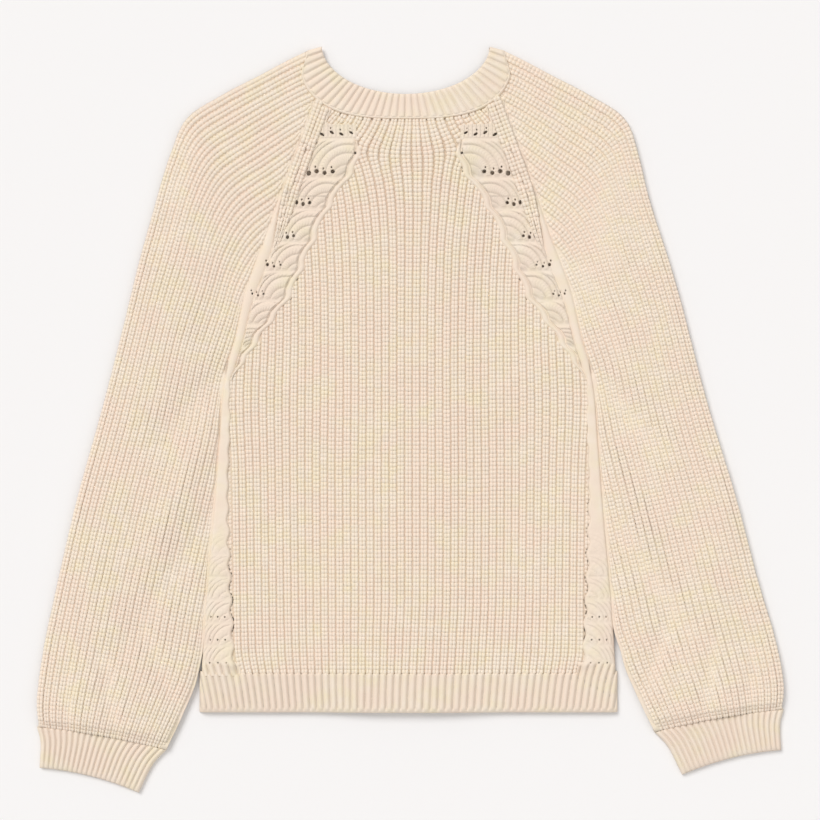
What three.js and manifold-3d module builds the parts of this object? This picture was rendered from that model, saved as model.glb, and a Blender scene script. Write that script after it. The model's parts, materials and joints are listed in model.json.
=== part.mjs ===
// A raglan cardigan in half-fisherman rib, buttoned and laid face down on a flat surface, back up.
// Every piece is a knitted wall of its real thickness. x runs across the garment, y up to the neck,
// z off the surface, and the fronts lie on z = 0 under the back. All sizes are in millimetres.
import * as THREE from "three";
import { mergeVertices } from "three/addons/utils/BufferGeometryUtils.js";
import Module from "manifold-3d";

const wasm = await Module();
wasm.setup();

// Cloth.
const CLOTH = 2.6; // knitted wall below the ribs
const RIB_RISE = 1.2; // how far a rib stands over its groove
const BAND_RISE = 0.9; // the same on the finer ribs of hem, cuffs and neck
const SEAM = 0.3; // gap between two pieces at a seam
const FRONT = 3; // thickness of a front, whose ribs are flattened by its own weight
const BACK_LIES_AT = FRONT + 0.4; // underside of the back, over the fronts
const TURN = 3.2; // thickness of a wall where it turns down at a side or fold
const FOLD_RADIUS = 5; // how softly a fold rounds over
const FOLD_LOW = 2; // height at which a fold's rounding starts

// Ribs.
const RIB = 6.85; // one rib across the back
const RIB_PARTS = [-0.5, 0]; // a rib's groove and its crest, in ribs
const BACK_RIBS = 24; // ribs on each side of the middle one
const SLEEVE_RIBS = 22;
const CUFF_RIBS = 21;
const HEM_RIBS = 30;
const NECK_RIBS = 30;

// Body.
const HEM_TOP = -230;
const HEM_LOW = -263.7;
const HEM_HALF = 188; // half the hem's width
const UNDERARM = 45; // height of the underarm
const NECK_MIDDLE = 336.6; // height of the centre of the neck's curves

// Neck: half widths and depths of the band's two edges, at the back and at the front.
const NECK_IN = { half: 75.6, back: 44.5, front: 86.6, power: 2 };
const NECK_OUT = { half: 97.2, back: 67.7, front: 109.8, power: 2.9 };
const NECK_CLEAR = 0.4; // gap round the neckband's curve
const NECK_FOLD = 2.5; // degrees round the neck at which the band folds, on each shoulder

// Front closing.
const BAND_HALF = 15; // half the width of the button bands
const BAND_TOP = NECK_MIDDLE - NECK_IN.front;
const BUTTONHOLE_BAND = 3.6; // double knit, and lowest as the garment lies
const BUTTON_BAND = 2.6;
const BUTTON_BAND_LAP = 9; // its seam allowance, which lies on the left front
const BUTTONS = { count: 6, low: -248, high: 238, radius: 9, thick: 1.9, rim: 0.6 };
const CROWN = 3.4; // how far the back is lifted by the closed bands under it
const CROWN_FLAT = 17;
const CROWN_WIDE = 95;

// The line where the back meets the sleeve, and below the underarm the body's side.
const EDGE = [
  { y: 300, x: 78 },
  { y: 215, x: 109 },
  { y: 165, x: 126 },
  { y: 115, x: 144.5 },
  { y: 72, x: 154.5 },
  { y: 31, x: 166 },
  { y: -27, x: 171 },
  { y: -85.5, x: 175.5 },
  { y: -166.5, x: 182.7 },
  { y: -232, x: 186.5 },
];

// The line where the ribs of the back end and the shell lace begins.
const LACE_LINE = [
  { y: 280, x: 22 },
  { y: 251, x: 42.8 },
  { y: 218, x: 54 },
  { y: 191.7, x: 74.3 },
  { y: 144, x: 98.6 },
  { y: 109.8, x: 113.9 },
  { y: 73.8, x: 140.1 },
  { y: 40.5, x: 158 },
  { y: -7, x: 160 },
  { y: -60, x: 162 },
  { y: -190, x: 162 },
  { y: -232, x: 155 },
];

// The rows of eyelets on which each shell of the lace stands, from the neck to the underarm.
const RAGLAN_ROWS = [261, 223.2, 193.5, 164.7, 136.8, 111.6, 90, 69.3, 52.2];
const SIDE_ROW = 20.2; // spacing of the shells down the side
const SIDE_ROWS = 13;
const LOWEST_ROW = -217;
const LACE_LAP = 0.7; // how far the lace and the ribs run into each other
const SHELL = { arcs: 2.5, rise: 1.3, steps: 3, columns: 6 };

// The ribs of the back run closer together near the neck.
const RIB_SPREAD = { high: 280, highShare: 0.8, low: 207 };

// Sections across a sleeve, from the neckband to the cuff: the fold on the outside of the arm, the
// inner edge, which follows EDGE until the sleeve hangs free, and the ribs between the two.
const SLEEVE = [
  { at: 0, outX: 96.3, outY: 327, inX: 83, inY: 290, ribs: 4.5 },
  { at: 1, outX: 132, outY: 312.3, inX: 97.7, inY: 254, ribs: 7.7 },
  { at: 2, outX: 168, outY: 293.5, inX: 112, inY: 205, ribs: 11 },
  { at: 3, outX: 199, outY: 272.5, inX: 132, inY: 153, ribs: 14.3 },
  { at: 4, outX: 213, outY: 238.5, inX: 146.3, inY: 110, ribs: 15.6 },
  { at: 5, outX: 231, outY: 180, inX: 154.4, inY: 72, ribs: 16.2 },
  { at: 6, outX: 247, outY: 126, inX: 164.5, inY: 38, ribs: 16.6 },
  { at: 7, outX: 275, outY: 18, inX: 170.5, inY: -18, ribs: 17.4 },
  { at: 8, outX: 301, outY: -76.5, inX: 176, inY: -90, ribs: 19 },
  { at: 9, outX: 322.7, outY: -171, inX: 184, inY: -184.5, ribs: 20.8 },
  { at: 10, outX: 330.8, outY: -211.5, inX: 189, inY: -229.5, ribs: 21.3 },
  { at: 11, outX: 335.7, outY: -252, inX: 201.5, inY: -263, ribs: 21.5 },
  { at: 12, outX: 334, outY: -276.3, inX: 217.5, inY: -297, ribs: 21.5 },
];
const SLEEVE_ROWS = [0, 1, 2, 2.5, 3, 3.5, 4, 5, 6, 8, 10, 11, 12];
const FREE_FROM = 6; // the section from which the sleeve is a closed tube
const SLEEVE_LOW = CLOTH + BACK_LIES_AT; // height of the sleeve's grooves at the raglan seam
const SLEEVE_SWELL = 3; // and how much more in the middle of the arm
const SLEEVE_BOW = 3; // how far the cuff seam bows up

// The cuff's two ends, as a sleeve's sections. The right sleeve lies a little higher and further out.
const CUFF = [
  { at: 0, outX: 333.9, outY: -276.7, inX: 217.6, inY: -297.4 },
  { at: 1, outX: 330.6, outY: -291, inX: 230, inY: -311 },
  { at: 2, outX: 331.6, outY: -313.6, inX: 242.5, inY: -335.8 },
];
const CUFF_HIGH = 5.6;
const CUFF_BOW = 4;
const RIGHT_SLEEVE = { rise: 16, out: 3.4, from: 60, to: -300 };

const clamp = THREE.MathUtils.clamp;
const smooth = THREE.MathUtils.smoothstep;
const mix = THREE.MathUtils.lerp;

// The value of a table's column at a place along its key column, on a smooth curve through its rows.
function along(table, key, column, place) {
  const last = table.length - 1;
  const sign = Math.sign(table[last][key] - table[0][key]);
  let i = 0;
  while (i < last - 1 && (place - table[i + 1][key]) * sign > 0) i++;
  const slope = (k) => {
    const [a, b] = [table[Math.max(k - 1, 0)], table[Math.min(k + 1, last)]];
    return (b[column] - a[column]) / (b[key] - a[key]);
  };
  const span = table[i + 1][key] - table[i][key];
  const t = (place - table[i][key]) / span;
  if (t < 0) return table[i][column] + slope(i) * t * span;
  if (t > 1) return table[i + 1][column] + slope(i + 1) * (t - 1) * span;
  const h = t * t * (3 - 2 * t);
  return (
    mix(table[i][column], table[i + 1][column], h) +
    span * (slope(i) * t * (1 - t) ** 2 - slope(i + 1) * t * t * (1 - t))
  );
}

const edgeX = (y) => along(EDGE, "y", "x", y);
const laceX = (y) => along(LACE_LINE, "y", "x", y);
const steps = (count) => Array.from({ length: count + 1 }, (_, i) => i / count);

// A solid from a three.js geometry, and a named mesh from a solid.
function solid(geometry) {
  const bare = geometry.index ? geometry.toNonIndexed() : geometry.clone();
  bare.deleteAttribute("normal");
  bare.deleteAttribute("uv");
  const merged = mergeVertices(bare, 1e-3);
  return new wasm.Manifold(
    new wasm.Mesh({
      numProp: 3,
      vertProperties: merged.attributes.position.array,
      triVerts: new Uint32Array(merged.index.array),
    }),
  );
}

function piece(name, made, material) {
  const { vertProperties, triVerts } = made.getMesh();
  const geometry = new THREE.BufferGeometry()
    .setAttribute("position", new THREE.BufferAttribute(vertProperties, 3))
    .setIndex(new THREE.BufferAttribute(triVerts, 1));
  const mesh = new THREE.Mesh(geometry, material);
  mesh.name = name;
  return mesh;
}

// Cloth that fills the space between rows of points and a flat base, with upright edges.
function slab(rows, base) {
  const [tall, wide] = [rows.length, rows[0].length];
  const top = rows.flat();
  const bottom = top.map(([x, y]) => [x, y, base]);
  const under = top.length;
  const faces = [];
  for (let i = 0; i + 1 < tall; i++)
    for (let j = 0; j + 1 < wide; j++) {
      const a = i * wide + j;
      faces.push([a, a + wide, a + 1], [a + 1, a + wide, a + wide + 1]);
      faces.push([under + a, under + a + 1, under + a + wide]);
      faces.push([under + a + 1, under + a + wide + 1, under + a + wide]);
    }
  const wall = (a, b) => faces.push([a, b, under + a], [b, under + b, under + a]);
  for (let j = 0; j + 1 < wide; j++) {
    wall(j, j + 1);
    wall((tall - 1) * wide + j + 1, (tall - 1) * wide + j);
  }
  for (let i = 0; i + 1 < tall; i++) {
    wall((i + 1) * wide, i * wide);
    wall((i + 1) * wide - 1, (i + 2) * wide - 1);
  }
  const geometry = new THREE.BufferGeometry()
    .setAttribute("position", new THREE.Float32BufferAttribute([...top, ...bottom].flat(), 3))
    .setIndex(faces.flat());
  const made = solid(geometry);
  return made.volume() > 0 ? made : solid(turnedOver(geometry));
}

function turnedOver(geometry) {
  return geometry.setIndex([...geometry.index.array].reverse());
}

// An upright block over a plan outline.
function prism(outline, low, high) {
  const shape = new THREE.Shape(outline.map(([x, y]) => new THREE.Vector2(x, y)));
  const geometry = new THREE.ExtrudeGeometry(shape, { depth: high - low, bevelEnabled: false });
  return solid(geometry.translate(0, 0, low));
}

const mirrored = (made) => made.mirror([1, 0, 0]);
const LOW = -5;
const HIGH = 40;
const FAR = 400;

// Outlines in plan.
const rect = (x0, y0, x1, y1) => [
  [x0, y0],
  [x1, y0],
  [x1, y1],
  [x0, y1],
];

function bodyPlan(past) {
  const right = steps(36).map((t) => mix(305, HEM_TOP - 40, t)).map((y) => [edgeX(y) + past, y]);
  return [...right, ...right.map(([x, y]) => [-x, y]).reverse()];
}

// The part of a solid between two heights up the garment.
const between = (made, low, high) =>
  made.trimByPlane([0, 1, 0], low).trimByPlane([0, -1, 0], -high);

function neckPoint(curve, depth, angle, past = 0) {
  const [c, s] = [Math.cos(angle), Math.sin(angle)];
  const bend = 2 / curve.power;
  return [
    (curve.half + past) * Math.sign(c) * Math.abs(c) ** bend,
    NECK_MIDDLE - (curve[depth] + past) * Math.abs(s) ** bend,
  ];
}

function neckPlan(depth, past) {
  const round = steps(36).map((t) => neckPoint(NECK_OUT, depth, Math.PI * t, past));
  return [...round, [-NECK_OUT.half - past, FAR], [NECK_OUT.half + past, FAR]];
}

// The height at which the back lies, over the fronts and the closed bands.
function lies(x, y) {
  const across = 1 - smooth(Math.abs(x), CROWN_FLAT, CROWN_WIDE);
  return BACK_LIES_AT + CROWN * across * (1 - smooth(y, 250, 290));
}

const ribHeight = (fraction, rise) => (fraction === -0.5 ? 0 : rise);

// The room, in plan, that the back or its hem leaves for what it lies on.
function roomUnder(plan) {
  const xs = [-FAR, -95, -70, -50, -35, -25, -17, 17, 25, 35, 50, 70, 95, FAR];
  const ys = [FAR, 290, 277, 264, 250, 0, -300];
  const rows = ys.map((y) => xs.map((x) => [x, y, lies(x, y)]));
  return slab(rows, LOW).intersect(plan);
}

// The back's ribs: each column runs down from the neck or from the lace line to the hem.
const spread = (y) => mix(1, RIB_SPREAD.highShare, smooth(y, RIB_SPREAD.low, RIB_SPREAD.high));
const backRibX = (rib, y) => rib * RIB * spread(y);

function topOfRib(rib) {
  let y = 280;
  while (y > HEM_TOP + 20 && Math.abs(backRibX(rib, y)) > laceX(y) + 4) y -= 2;
  return y;
}

function ribbedBack() {
  const columns = [];
  for (let rib = -BACK_RIBS; rib <= BACK_RIBS; rib++)
    for (const part of RIB_PARTS) columns.push({ rib: rib + part, part });
  columns.push({ rib: BACK_RIBS + 0.5, part: -0.5 });
  const rows = steps(5).map((t) =>
    columns.map(({ rib, part }) => {
      const y = mix(topOfRib(rib), HEM_TOP + SEAM, t ** 1.5);
      const x = backRibX(rib, y);
      return [x, y, lies(x, y) + CLOTH + ribHeight(part, RIB_RISE)];
    }),
  );
  const ys = steps(30).map((t) => mix(285, HEM_TOP - 2, t));
  const right = ys.map((y) => [laceX(y) + LACE_LAP, y]);
  const plan = [...right, ...right.map(([x, y]) => [-x, y]).reverse()];
  return slab(rows, 0).intersect(prism(plan, LOW, HIGH));
}

// The shell lace from neck to hem. Each shell stands on a row of eyelets, and its arcs spring from
// the row and bend over to the lace line.
const laceRows = [
  ...RAGLAN_ROWS,
  ...steps(SIDE_ROWS - 1).map((t) => LOWEST_ROW + SIDE_ROW * (SIDE_ROWS - 1) * (1 - t)),
];

function shellHeight(up, across) {
  const radius = Math.hypot(up, across);
  const arcs = 0.5 - 0.5 * Math.cos(2 * Math.PI * SHELL.arcs * radius);
  const high = radius < 1 ? 0.35 + 0.65 * arcs : 0.35;
  return SHELL.rise * high * Math.min(4 * across, 1);
}

function roundedOff(distance) {
  const t = clamp(distance / FOLD_RADIUS, 0, 1);
  return Math.sqrt(t * (2 - t));
}

function lace() {
  const ends = [285, ...laceRows, HEM_TOP + SEAM];
  const rows = [];
  for (let i = 0; i + 1 < ends.length; i++)
    for (const t of steps(SHELL.steps).slice(i ? 1 : 0)) {
      const y = mix(ends[i], ends[i + 1], t);
      const [from, to] = [laceX(y) - LACE_LAP, edgeX(y)];
      const turned = 1 - smooth(y, UNDERARM - 15, UNDERARM + 5);
      rows.push(
        steps(SHELL.columns).map((across) => {
          const x = mix(from, to, across);
          const full = lies(x, y) + CLOTH + shellHeight(1 - t, across);
          const round = mix(FOLD_LOW, full, roundedOff(to - x));
          return [x, y, mix(full, round, turned)];
        }),
      );
    }
  return slab(rows, 0);
}

// The back, with its lace. Its sides turn down to the surface and hold the fronts between them.
function makeBack() {
  const side = lace().intersect(prism(bodyPlan(0), LOW, HIGH));
  const whole = ribbedBack().add(side).add(mirrored(side));
  const neck = prism(neckPlan("back", NECK_CLEAR), LOW, HIGH);
  const upper = prism(rect(-FAR, UNDERARM, FAR, FAR), LOW, HIGH);
  const inside = prism(bodyPlan(-TURN), LOW, HIGH).add(upper);
  return whole.subtract(neck).subtract(roomUnder(inside));
}

// A flat front, from the button bands to the side seam.
function makeFront() {
  const raglan = between(prism(bodyPlan(0), 0, FRONT), UNDERARM + SEAM, FAR);
  const inside = between(prism(bodyPlan(-TURN - SEAM), 0, FRONT), HEM_TOP + SEAM, UNDERARM + 1);
  return raglan
    .add(inside)
    .subtract(prism(neckPlan("front", NECK_CLEAR), LOW, HIGH))
    .subtract(prism(rect(-FAR, -FAR, BAND_HALF + SEAM, FAR), LOW, HIGH));
}

// Hem bands: the ribbed back one turns down at the sides, and the front ones lie flat.
function makeBackHem() {
  const columns = [];
  const pitch = (2 * HEM_HALF) / (2 * HEM_RIBS + 1);
  for (let rib = -HEM_RIBS; rib <= HEM_RIBS; rib++)
    for (const part of RIB_PARTS) columns.push({ x: (rib + part) * pitch, part });
  columns.push({ x: HEM_HALF, part: -0.5 });
  const rows = [HEM_TOP, HEM_LOW].map((y) =>
    columns.map(({ x, part }) => {
      const full = lies(x, y) + CLOTH + ribHeight(part, BAND_RISE);
      return [x, y, mix(FOLD_LOW, full, roundedOff(HEM_HALF - Math.abs(x)))];
    }),
  );
  const inside = prism(rect(TURN - HEM_HALF, -FAR, HEM_HALF - TURN, FAR), LOW, HIGH);
  return slab(rows, 0).subtract(roomUnder(inside));
}

function makeFrontHem() {
  return prism(rect(BAND_HALF + SEAM, HEM_LOW, HEM_HALF - TURN - SEAM, HEM_TOP), 0, FRONT);
}

// The neckband: ribbed round the back, folded at each shoulder and flat down each front.
function bandRows(depth, from, to, height, wider = 0) {
  const count = Math.round((NECK_RIBS * (to - from)) / Math.PI);
  const columns = [];
  for (let rib = 0; rib < count; rib++)
    for (const part of RIB_PARTS) columns.push({ t: (rib + part + 0.5) / count, part });
  columns.push({ t: 1, part: -0.5 });
  return [-wider, 1 + wider].map((across) =>
    columns.map(({ t, part }) => {
      const angle = mix(from, to, t);
      const inner = neckPoint(NECK_IN, depth, angle);
      const outer = neckPoint(NECK_OUT, depth, angle);
      const [x, y] = [mix(inner[0], outer[0], across), mix(inner[1], outer[1], across)];
      return [x, y, height(x, y, part)];
    }),
  );
}

function makeNeckband() {
  const fold = THREE.MathUtils.degToRad(NECK_FOLD);
  const foldWide = THREE.MathUtils.degToRad(3);
  const top = (x, y, part) => lies(x, y) + CLOTH + ribHeight(part, BAND_RISE);
  const over = slab(bandRows("back", fold, Math.PI - fold, top), 0);
  const room = slab(bandRows("back", fold + foldWide, Math.PI - fold - foldWide, lies, 0.3), LOW);
  const under = slab(bandRows("front", fold, Math.PI - fold, () => FRONT), 0);
  const gap = rect(-BAND_HALF - SEAM, 0, BAND_HALF + SEAM, BAND_TOP + 10);
  return over.subtract(room).add(under.subtract(prism(gap, LOW, HIGH)));
}

// The closed button bands, one over the other, and the buttons let into the lower one.
function makeButtonholeBand() {
  let band = prism(rect(-BAND_HALF, HEM_LOW, BAND_HALF, BAND_TOP), 0, BUTTONHOLE_BAND);
  for (const y of buttonPlaces()) band = band.subtract(solid(disc(SEAM, y)));
  return band;
}

function makeButtonBand() {
  const low = BUTTONHOLE_BAND + SEAM;
  const lap = FRONT + SEAM;
  const profile = [
    [BAND_HALF, low],
    [BAND_HALF, low + BUTTON_BAND],
    [-BAND_HALF - 1, low + BUTTON_BAND],
    [-BAND_HALF - BUTTON_BAND_LAP, lap + BUTTON_BAND],
    [-BAND_HALF - BUTTON_BAND_LAP, lap],
    [-BAND_HALF - 3, lap],
    [-BAND_HALF - 1, low],
  ];
  const shape = new THREE.Shape(profile.map(([x, z]) => new THREE.Vector2(x, z)));
  const depth = BAND_TOP - HEM_LOW;
  const geometry = new THREE.ExtrudeGeometry(shape, { depth, bevelEnabled: false });
  return solid(geometry.rotateX(Math.PI / 2).translate(0, BAND_TOP, 0));
}

function buttonPlaces() {
  return steps(BUTTONS.count - 1).map((t) => mix(BUTTONS.low, BUTTONS.high, t));
}

// A button's disc, or with a gap all round, the hollow that the knit leaves for it.
function disc(gap, y) {
  const { radius, thick, rim } = BUTTONS;
  const profile = [
    [0, -gap],
    [radius - rim + gap, -gap],
    [radius + gap, rim],
    [radius + gap, thick + gap],
    [0, thick + gap],
  ];
  const points = profile.map(([r, z]) => new THREE.Vector2(r, z));
  return new THREE.LatheGeometry(points, 16).rotateX(Math.PI / 2).translate(0, y, 0);
}

// A sleeve or cuff at a place across, in shares of its width, and along, in sections.
function sleevePoint(table, bow, share, at, side) {
  const value = (column) => along(table, "at", column, at);
  const [outX, outY, inX, inY] = [value("outX"), value("outY"), value("inX"), value("inY")];
  const x = mix(outX, inX, share);
  const y = mix(outY, inY, share) + bow * 4 * share * (1 - share);
  if (side === "left") return [-x, y];
  const lift = 1 - smooth(y, RIGHT_SLEEVE.to, RIGHT_SLEEVE.from);
  return [x + RIGHT_SLEEVE.out * lift, y + RIGHT_SLEEVE.rise * lift];
}

const sleeveRibs = (at) => along(SLEEVE, "at", "ribs", at);
const sleeveWide = (at) => {
  const value = (column) => along(SLEEVE, "at", column, at);
  return Math.hypot(value("outX") - value("inX"), value("outY") - value("inY"));
};

// How high the sleeve's grooves lie: full in the middle, and rounded off at its folds.
function sleeveHigh(share, at) {
  const arm = smooth(at, 1, FREE_FROM);
  const swell = SLEEVE_SWELL * arm * Math.sin(Math.PI * clamp(share, 0, 1));
  return SLEEVE_LOW + swell;
}

function sleeveFold(share, at) {
  const wide = sleeveWide(at);
  const tube = smooth(at, FREE_FROM - 1, FREE_FROM);
  return roundedOff(share * wide) * mix(1, roundedOff((1 - share) * wide), tube);
}

// The section at which a rib comes in over the inner edge, and a little before it.
function startOfRib(rib) {
  const over = 1;
  let at = 0;
  while (at < 10 && sleeveRibs(at) + over < rib) at += 0.05;
  return at;
}

function makeSleeve(side) {
  const columns = [];
  for (let rib = 0; rib < SLEEVE_RIBS; rib++)
    for (const part of RIB_PARTS) columns.push({ rib: rib + part + 0.5, part });
  const rows = SLEEVE_ROWS.map((row) =>
    columns.map(({ rib, part }) => {
      const at = mix(startOfRib(rib), 12, row / 12);
      const share = Math.min(rib / sleeveRibs(at), at >= 10 ? 1 : FAR);
      const bow = SLEEVE_BOW * smooth(at, 9, 12);
      const fold = sleeveFold(clamp(share, 0, 1), at);
      const high = sleeveHigh(share, at) + ribHeight(part, RIB_RISE);
      return [...sleevePoint(SLEEVE, bow, share, at, side), mix(FOLD_LOW, high, fold)];
    }),
  );
  const hollow = [-0.3, ...SLEEVE_ROWS, 12.3].map((at) => {
    const inset = TURN / sleeveWide(at);
    const past = at < FREE_FROM - 0.5 ? 1 + 4 * inset : 1 - inset;
    return steps(4).map((t) => {
      const share = mix(inset, past, t);
      const bow = SLEEVE_BOW * smooth(at, 9, 12);
      return [...sleevePoint(SLEEVE, bow, share, at, side), sleeveHigh(share, at) - CLOTH];
    });
  });
  return slab(rows, 0)
    .subtract(slab(hollow, CLOTH))
    .subtract(prism(bodyPlan(SEAM), LOW, HIGH))
    .subtract(prism(rect(-HEM_HALF - SEAM, -FAR, HEM_HALF + SEAM, HEM_TOP + SEAM), LOW, HIGH))
    .subtract(prism(neckPlan("back", NECK_CLEAR), LOW, HIGH))
    .subtract(prism(neckPlan("front", NECK_CLEAR), LOW, FRONT + SEAM));
}

function makeCuff(side) {
  const columns = [];
  for (let rib = 0; rib < CUFF_RIBS; rib++)
    for (const part of RIB_PARTS) columns.push({ share: (rib + part + 0.5) / CUFF_RIBS, part });
  columns.push({ share: 1, part: -0.5 });
  const wide = 100;
  const rows = steps(1).map((t) =>
    columns.map(({ share, part }) => {
      const fold = roundedOff(share * wide) * roundedOff((1 - share) * wide);
      const high = CUFF_HIGH + ribHeight(part, BAND_RISE);
      const bow = mix(SLEEVE_BOW, CUFF_BOW, t);
      return [...sleevePoint(CUFF, bow, share, 2 * t, side), mix(FOLD_LOW, high, fold)];
    }),
  );
  const hollow = [-0.3, 0, 1, 2, 2.3].map((at) =>
    steps(4).map((t) => {
      const share = mix(TURN / wide, 1 - TURN / wide, t);
      return [...sleevePoint(CUFF, CUFF_BOW, share, at, side), CUFF_HIGH - CLOTH + 0.6];
    }),
  );
  return slab(rows, 0).subtract(slab(hollow, CLOTH - 0.4));
}

const wool = new THREE.MeshStandardMaterial({ color: 0xecd9bd, roughness: 0.95, metalness: 0 });
const horn = new THREE.MeshStandardMaterial({ color: 0xd8c3a0, roughness: 0.45, metalness: 0 });

const cardigan = new THREE.Group();
cardigan.add(
  piece("back", makeBack(), wool),
  piece("left_front", mirrored(makeFront()), wool),
  piece("right_front", makeFront(), wool),
  piece("back_hem", makeBackHem(), wool),
  piece("left_front_hem", mirrored(makeFrontHem()), wool),
  piece("right_front_hem", makeFrontHem(), wool),
  piece("neckband", makeNeckband(), wool),
  piece("buttonhole_band", makeButtonholeBand(), wool),
  piece("button_band", makeButtonBand(), wool),
  piece("left_sleeve", makeSleeve("left"), wool),
  piece("right_sleeve", makeSleeve("right"), wool),
  piece("left_cuff", makeCuff("left"), wool),
  piece("right_cuff", makeCuff("right"), wool),
);
buttonPlaces().forEach((y, i) => {
  cardigan.add(piece(`button_${i + 1}`, solid(disc(0, y)), horn));
});

export default cardigan;
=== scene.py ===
"""A raglan cardigan in half-fisherman rib, buttoned and laid face down, built as knitted cloth."""

import json
import math
from bisect import bisect
from collections import namedtuple
from functools import lru_cache, partial

import bpy
from bpy.props import FloatProperty, FloatVectorProperty, PointerProperty
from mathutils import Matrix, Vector

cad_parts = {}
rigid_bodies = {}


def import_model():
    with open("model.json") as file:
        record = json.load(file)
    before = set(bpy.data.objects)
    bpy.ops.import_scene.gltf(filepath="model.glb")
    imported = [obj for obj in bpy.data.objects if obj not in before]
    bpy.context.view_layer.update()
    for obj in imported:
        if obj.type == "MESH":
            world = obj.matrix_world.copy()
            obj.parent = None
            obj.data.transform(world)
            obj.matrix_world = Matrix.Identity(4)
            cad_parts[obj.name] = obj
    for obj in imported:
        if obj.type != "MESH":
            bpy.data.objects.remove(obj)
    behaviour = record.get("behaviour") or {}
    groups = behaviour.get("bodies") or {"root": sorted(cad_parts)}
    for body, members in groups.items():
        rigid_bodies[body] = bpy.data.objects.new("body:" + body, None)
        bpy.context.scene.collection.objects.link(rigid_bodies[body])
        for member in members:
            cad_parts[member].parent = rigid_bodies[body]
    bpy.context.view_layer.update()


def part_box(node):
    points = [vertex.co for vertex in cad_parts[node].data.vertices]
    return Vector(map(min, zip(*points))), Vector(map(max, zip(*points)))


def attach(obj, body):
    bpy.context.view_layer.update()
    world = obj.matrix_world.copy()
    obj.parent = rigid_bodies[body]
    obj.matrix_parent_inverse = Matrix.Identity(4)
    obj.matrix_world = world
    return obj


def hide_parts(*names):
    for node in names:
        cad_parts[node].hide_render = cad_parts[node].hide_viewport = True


bl_info = {
    "name": "Knit cardigan",
    "version": (1, 0, 0),
    "blender": (4, 5, 0),
    "location": "View3D > Sidebar > Cardigan",
    "description": "Builds a knit cardigan that lies on its front",
    "category": "Object",
}

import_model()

# Places on the garment, in metres: x across from its middle, y up to the neck, z off the surface.
UNDERARM = 0.045
HEM_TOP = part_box("back_hem")[1][1]
HEM_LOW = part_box("back_hem")[0][1]
HEM_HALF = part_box("back_hem")[1][0]
NECK_MIDDLE = 0.3366
NECK_FOLD = math.radians(2.5)  # where the neckband turns from the back to the front
FRONT_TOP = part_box("right_front")[1][2]
BACK_LIES_AT = FRONT_TOP + 0.0004
CROWN = 0.0034  # how far the closed button bands lift the back
EDGE_AT = 0.0008  # height of the edges that are turned down to the surface
BAND_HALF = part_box("buttonhole_band")[1][0]
BUTTONS = 6
TOP_LIMIT = 0.290  # where the neckband hides the back and the lace

Neck = namedtuple("Neck", "half back front power")
NECK_IN = Neck(0.0756, 0.0445, 0.0866, 2)
NECK_OUT = Neck(0.0972, 0.0677, 0.1098, 2.9)

Side = namedtuple("Side", "y x")
# Where the back meets the sleeve and, below the underarm, its side.
SEAM_LINE = [
    Side(0.300, 0.078),
    Side(0.215, 0.109),
    Side(0.165, 0.126),
    Side(0.115, 0.1445),
    Side(0.072, 0.1545),
    Side(0.031, 0.166),
    Side(-0.027, 0.171),
    Side(-0.0855, 0.1755),
    Side(-0.1665, 0.1827),
    Side(-0.232, 0.1865),
]
# Where the ribs of the back end and the shell lace begins.
LACE_LINE = [
    Side(0.300, 0.050),
    Side(0.2565, 0.0475),
    Side(0.2385, 0.0470),
    Side(0.2297, 0.0525),
    Side(0.218, 0.0593),
    Side(0.1917, 0.0768),
    Side(0.144, 0.0986),
    Side(0.1098, 0.1139),
    Side(0.0738, 0.1401),
    Side(0.0405, 0.158),
    Side(-0.007, 0.160),
    Side(-0.060, 0.162),
    Side(-0.150, 0.160),
    Side(-0.190, 0.1578),
    Side(-0.215, 0.1566),
    Side(-0.2277, 0.1527),
    Side(-0.232, 0.1515),
]

Row = namedtuple("Row", "y holes inner outer wide tall")
# The lace's rows of eyelets: how many each has, from which x to which, and their half size.
LACE_ROWS = [
    Row(0.2562, 4, 0.0515, 0.0775, 0.0023, 0.0011),
    Row(0.2214, 4, 0.0680, 0.0896, 0.0020, 0.0020),
    Row(0.1935, 3, 0.0887, 0.1004, 0.0014, 0.0018),
    Row(0.1638, 3, 0.1031, 0.1139, 0.0013, 0.0016),
    Row(0.1377, 3, 0.1148, 0.1265, 0.0011, 0.0012),
    Row(0.1116, 3, 0.1301, 0.1400, 0.0009, 0.0010),
    Row(0.0900, 0, 0.1340, 0.1450, 0, 0),
    Row(0.0693, 0, 0.1460, 0.1520, 0, 0),
    Row(0.0522, 0, 0.1540, 0.1580, 0, 0),
]
FIRST_ROW = LACE_ROWS[0].y
RIBS_WIDEN = FIRST_ROW + 0.0074  # above this the ribs of the back go on out over the lace

Ribs = namedtuple("Ribs", "y near inner middle outer drift")
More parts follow.
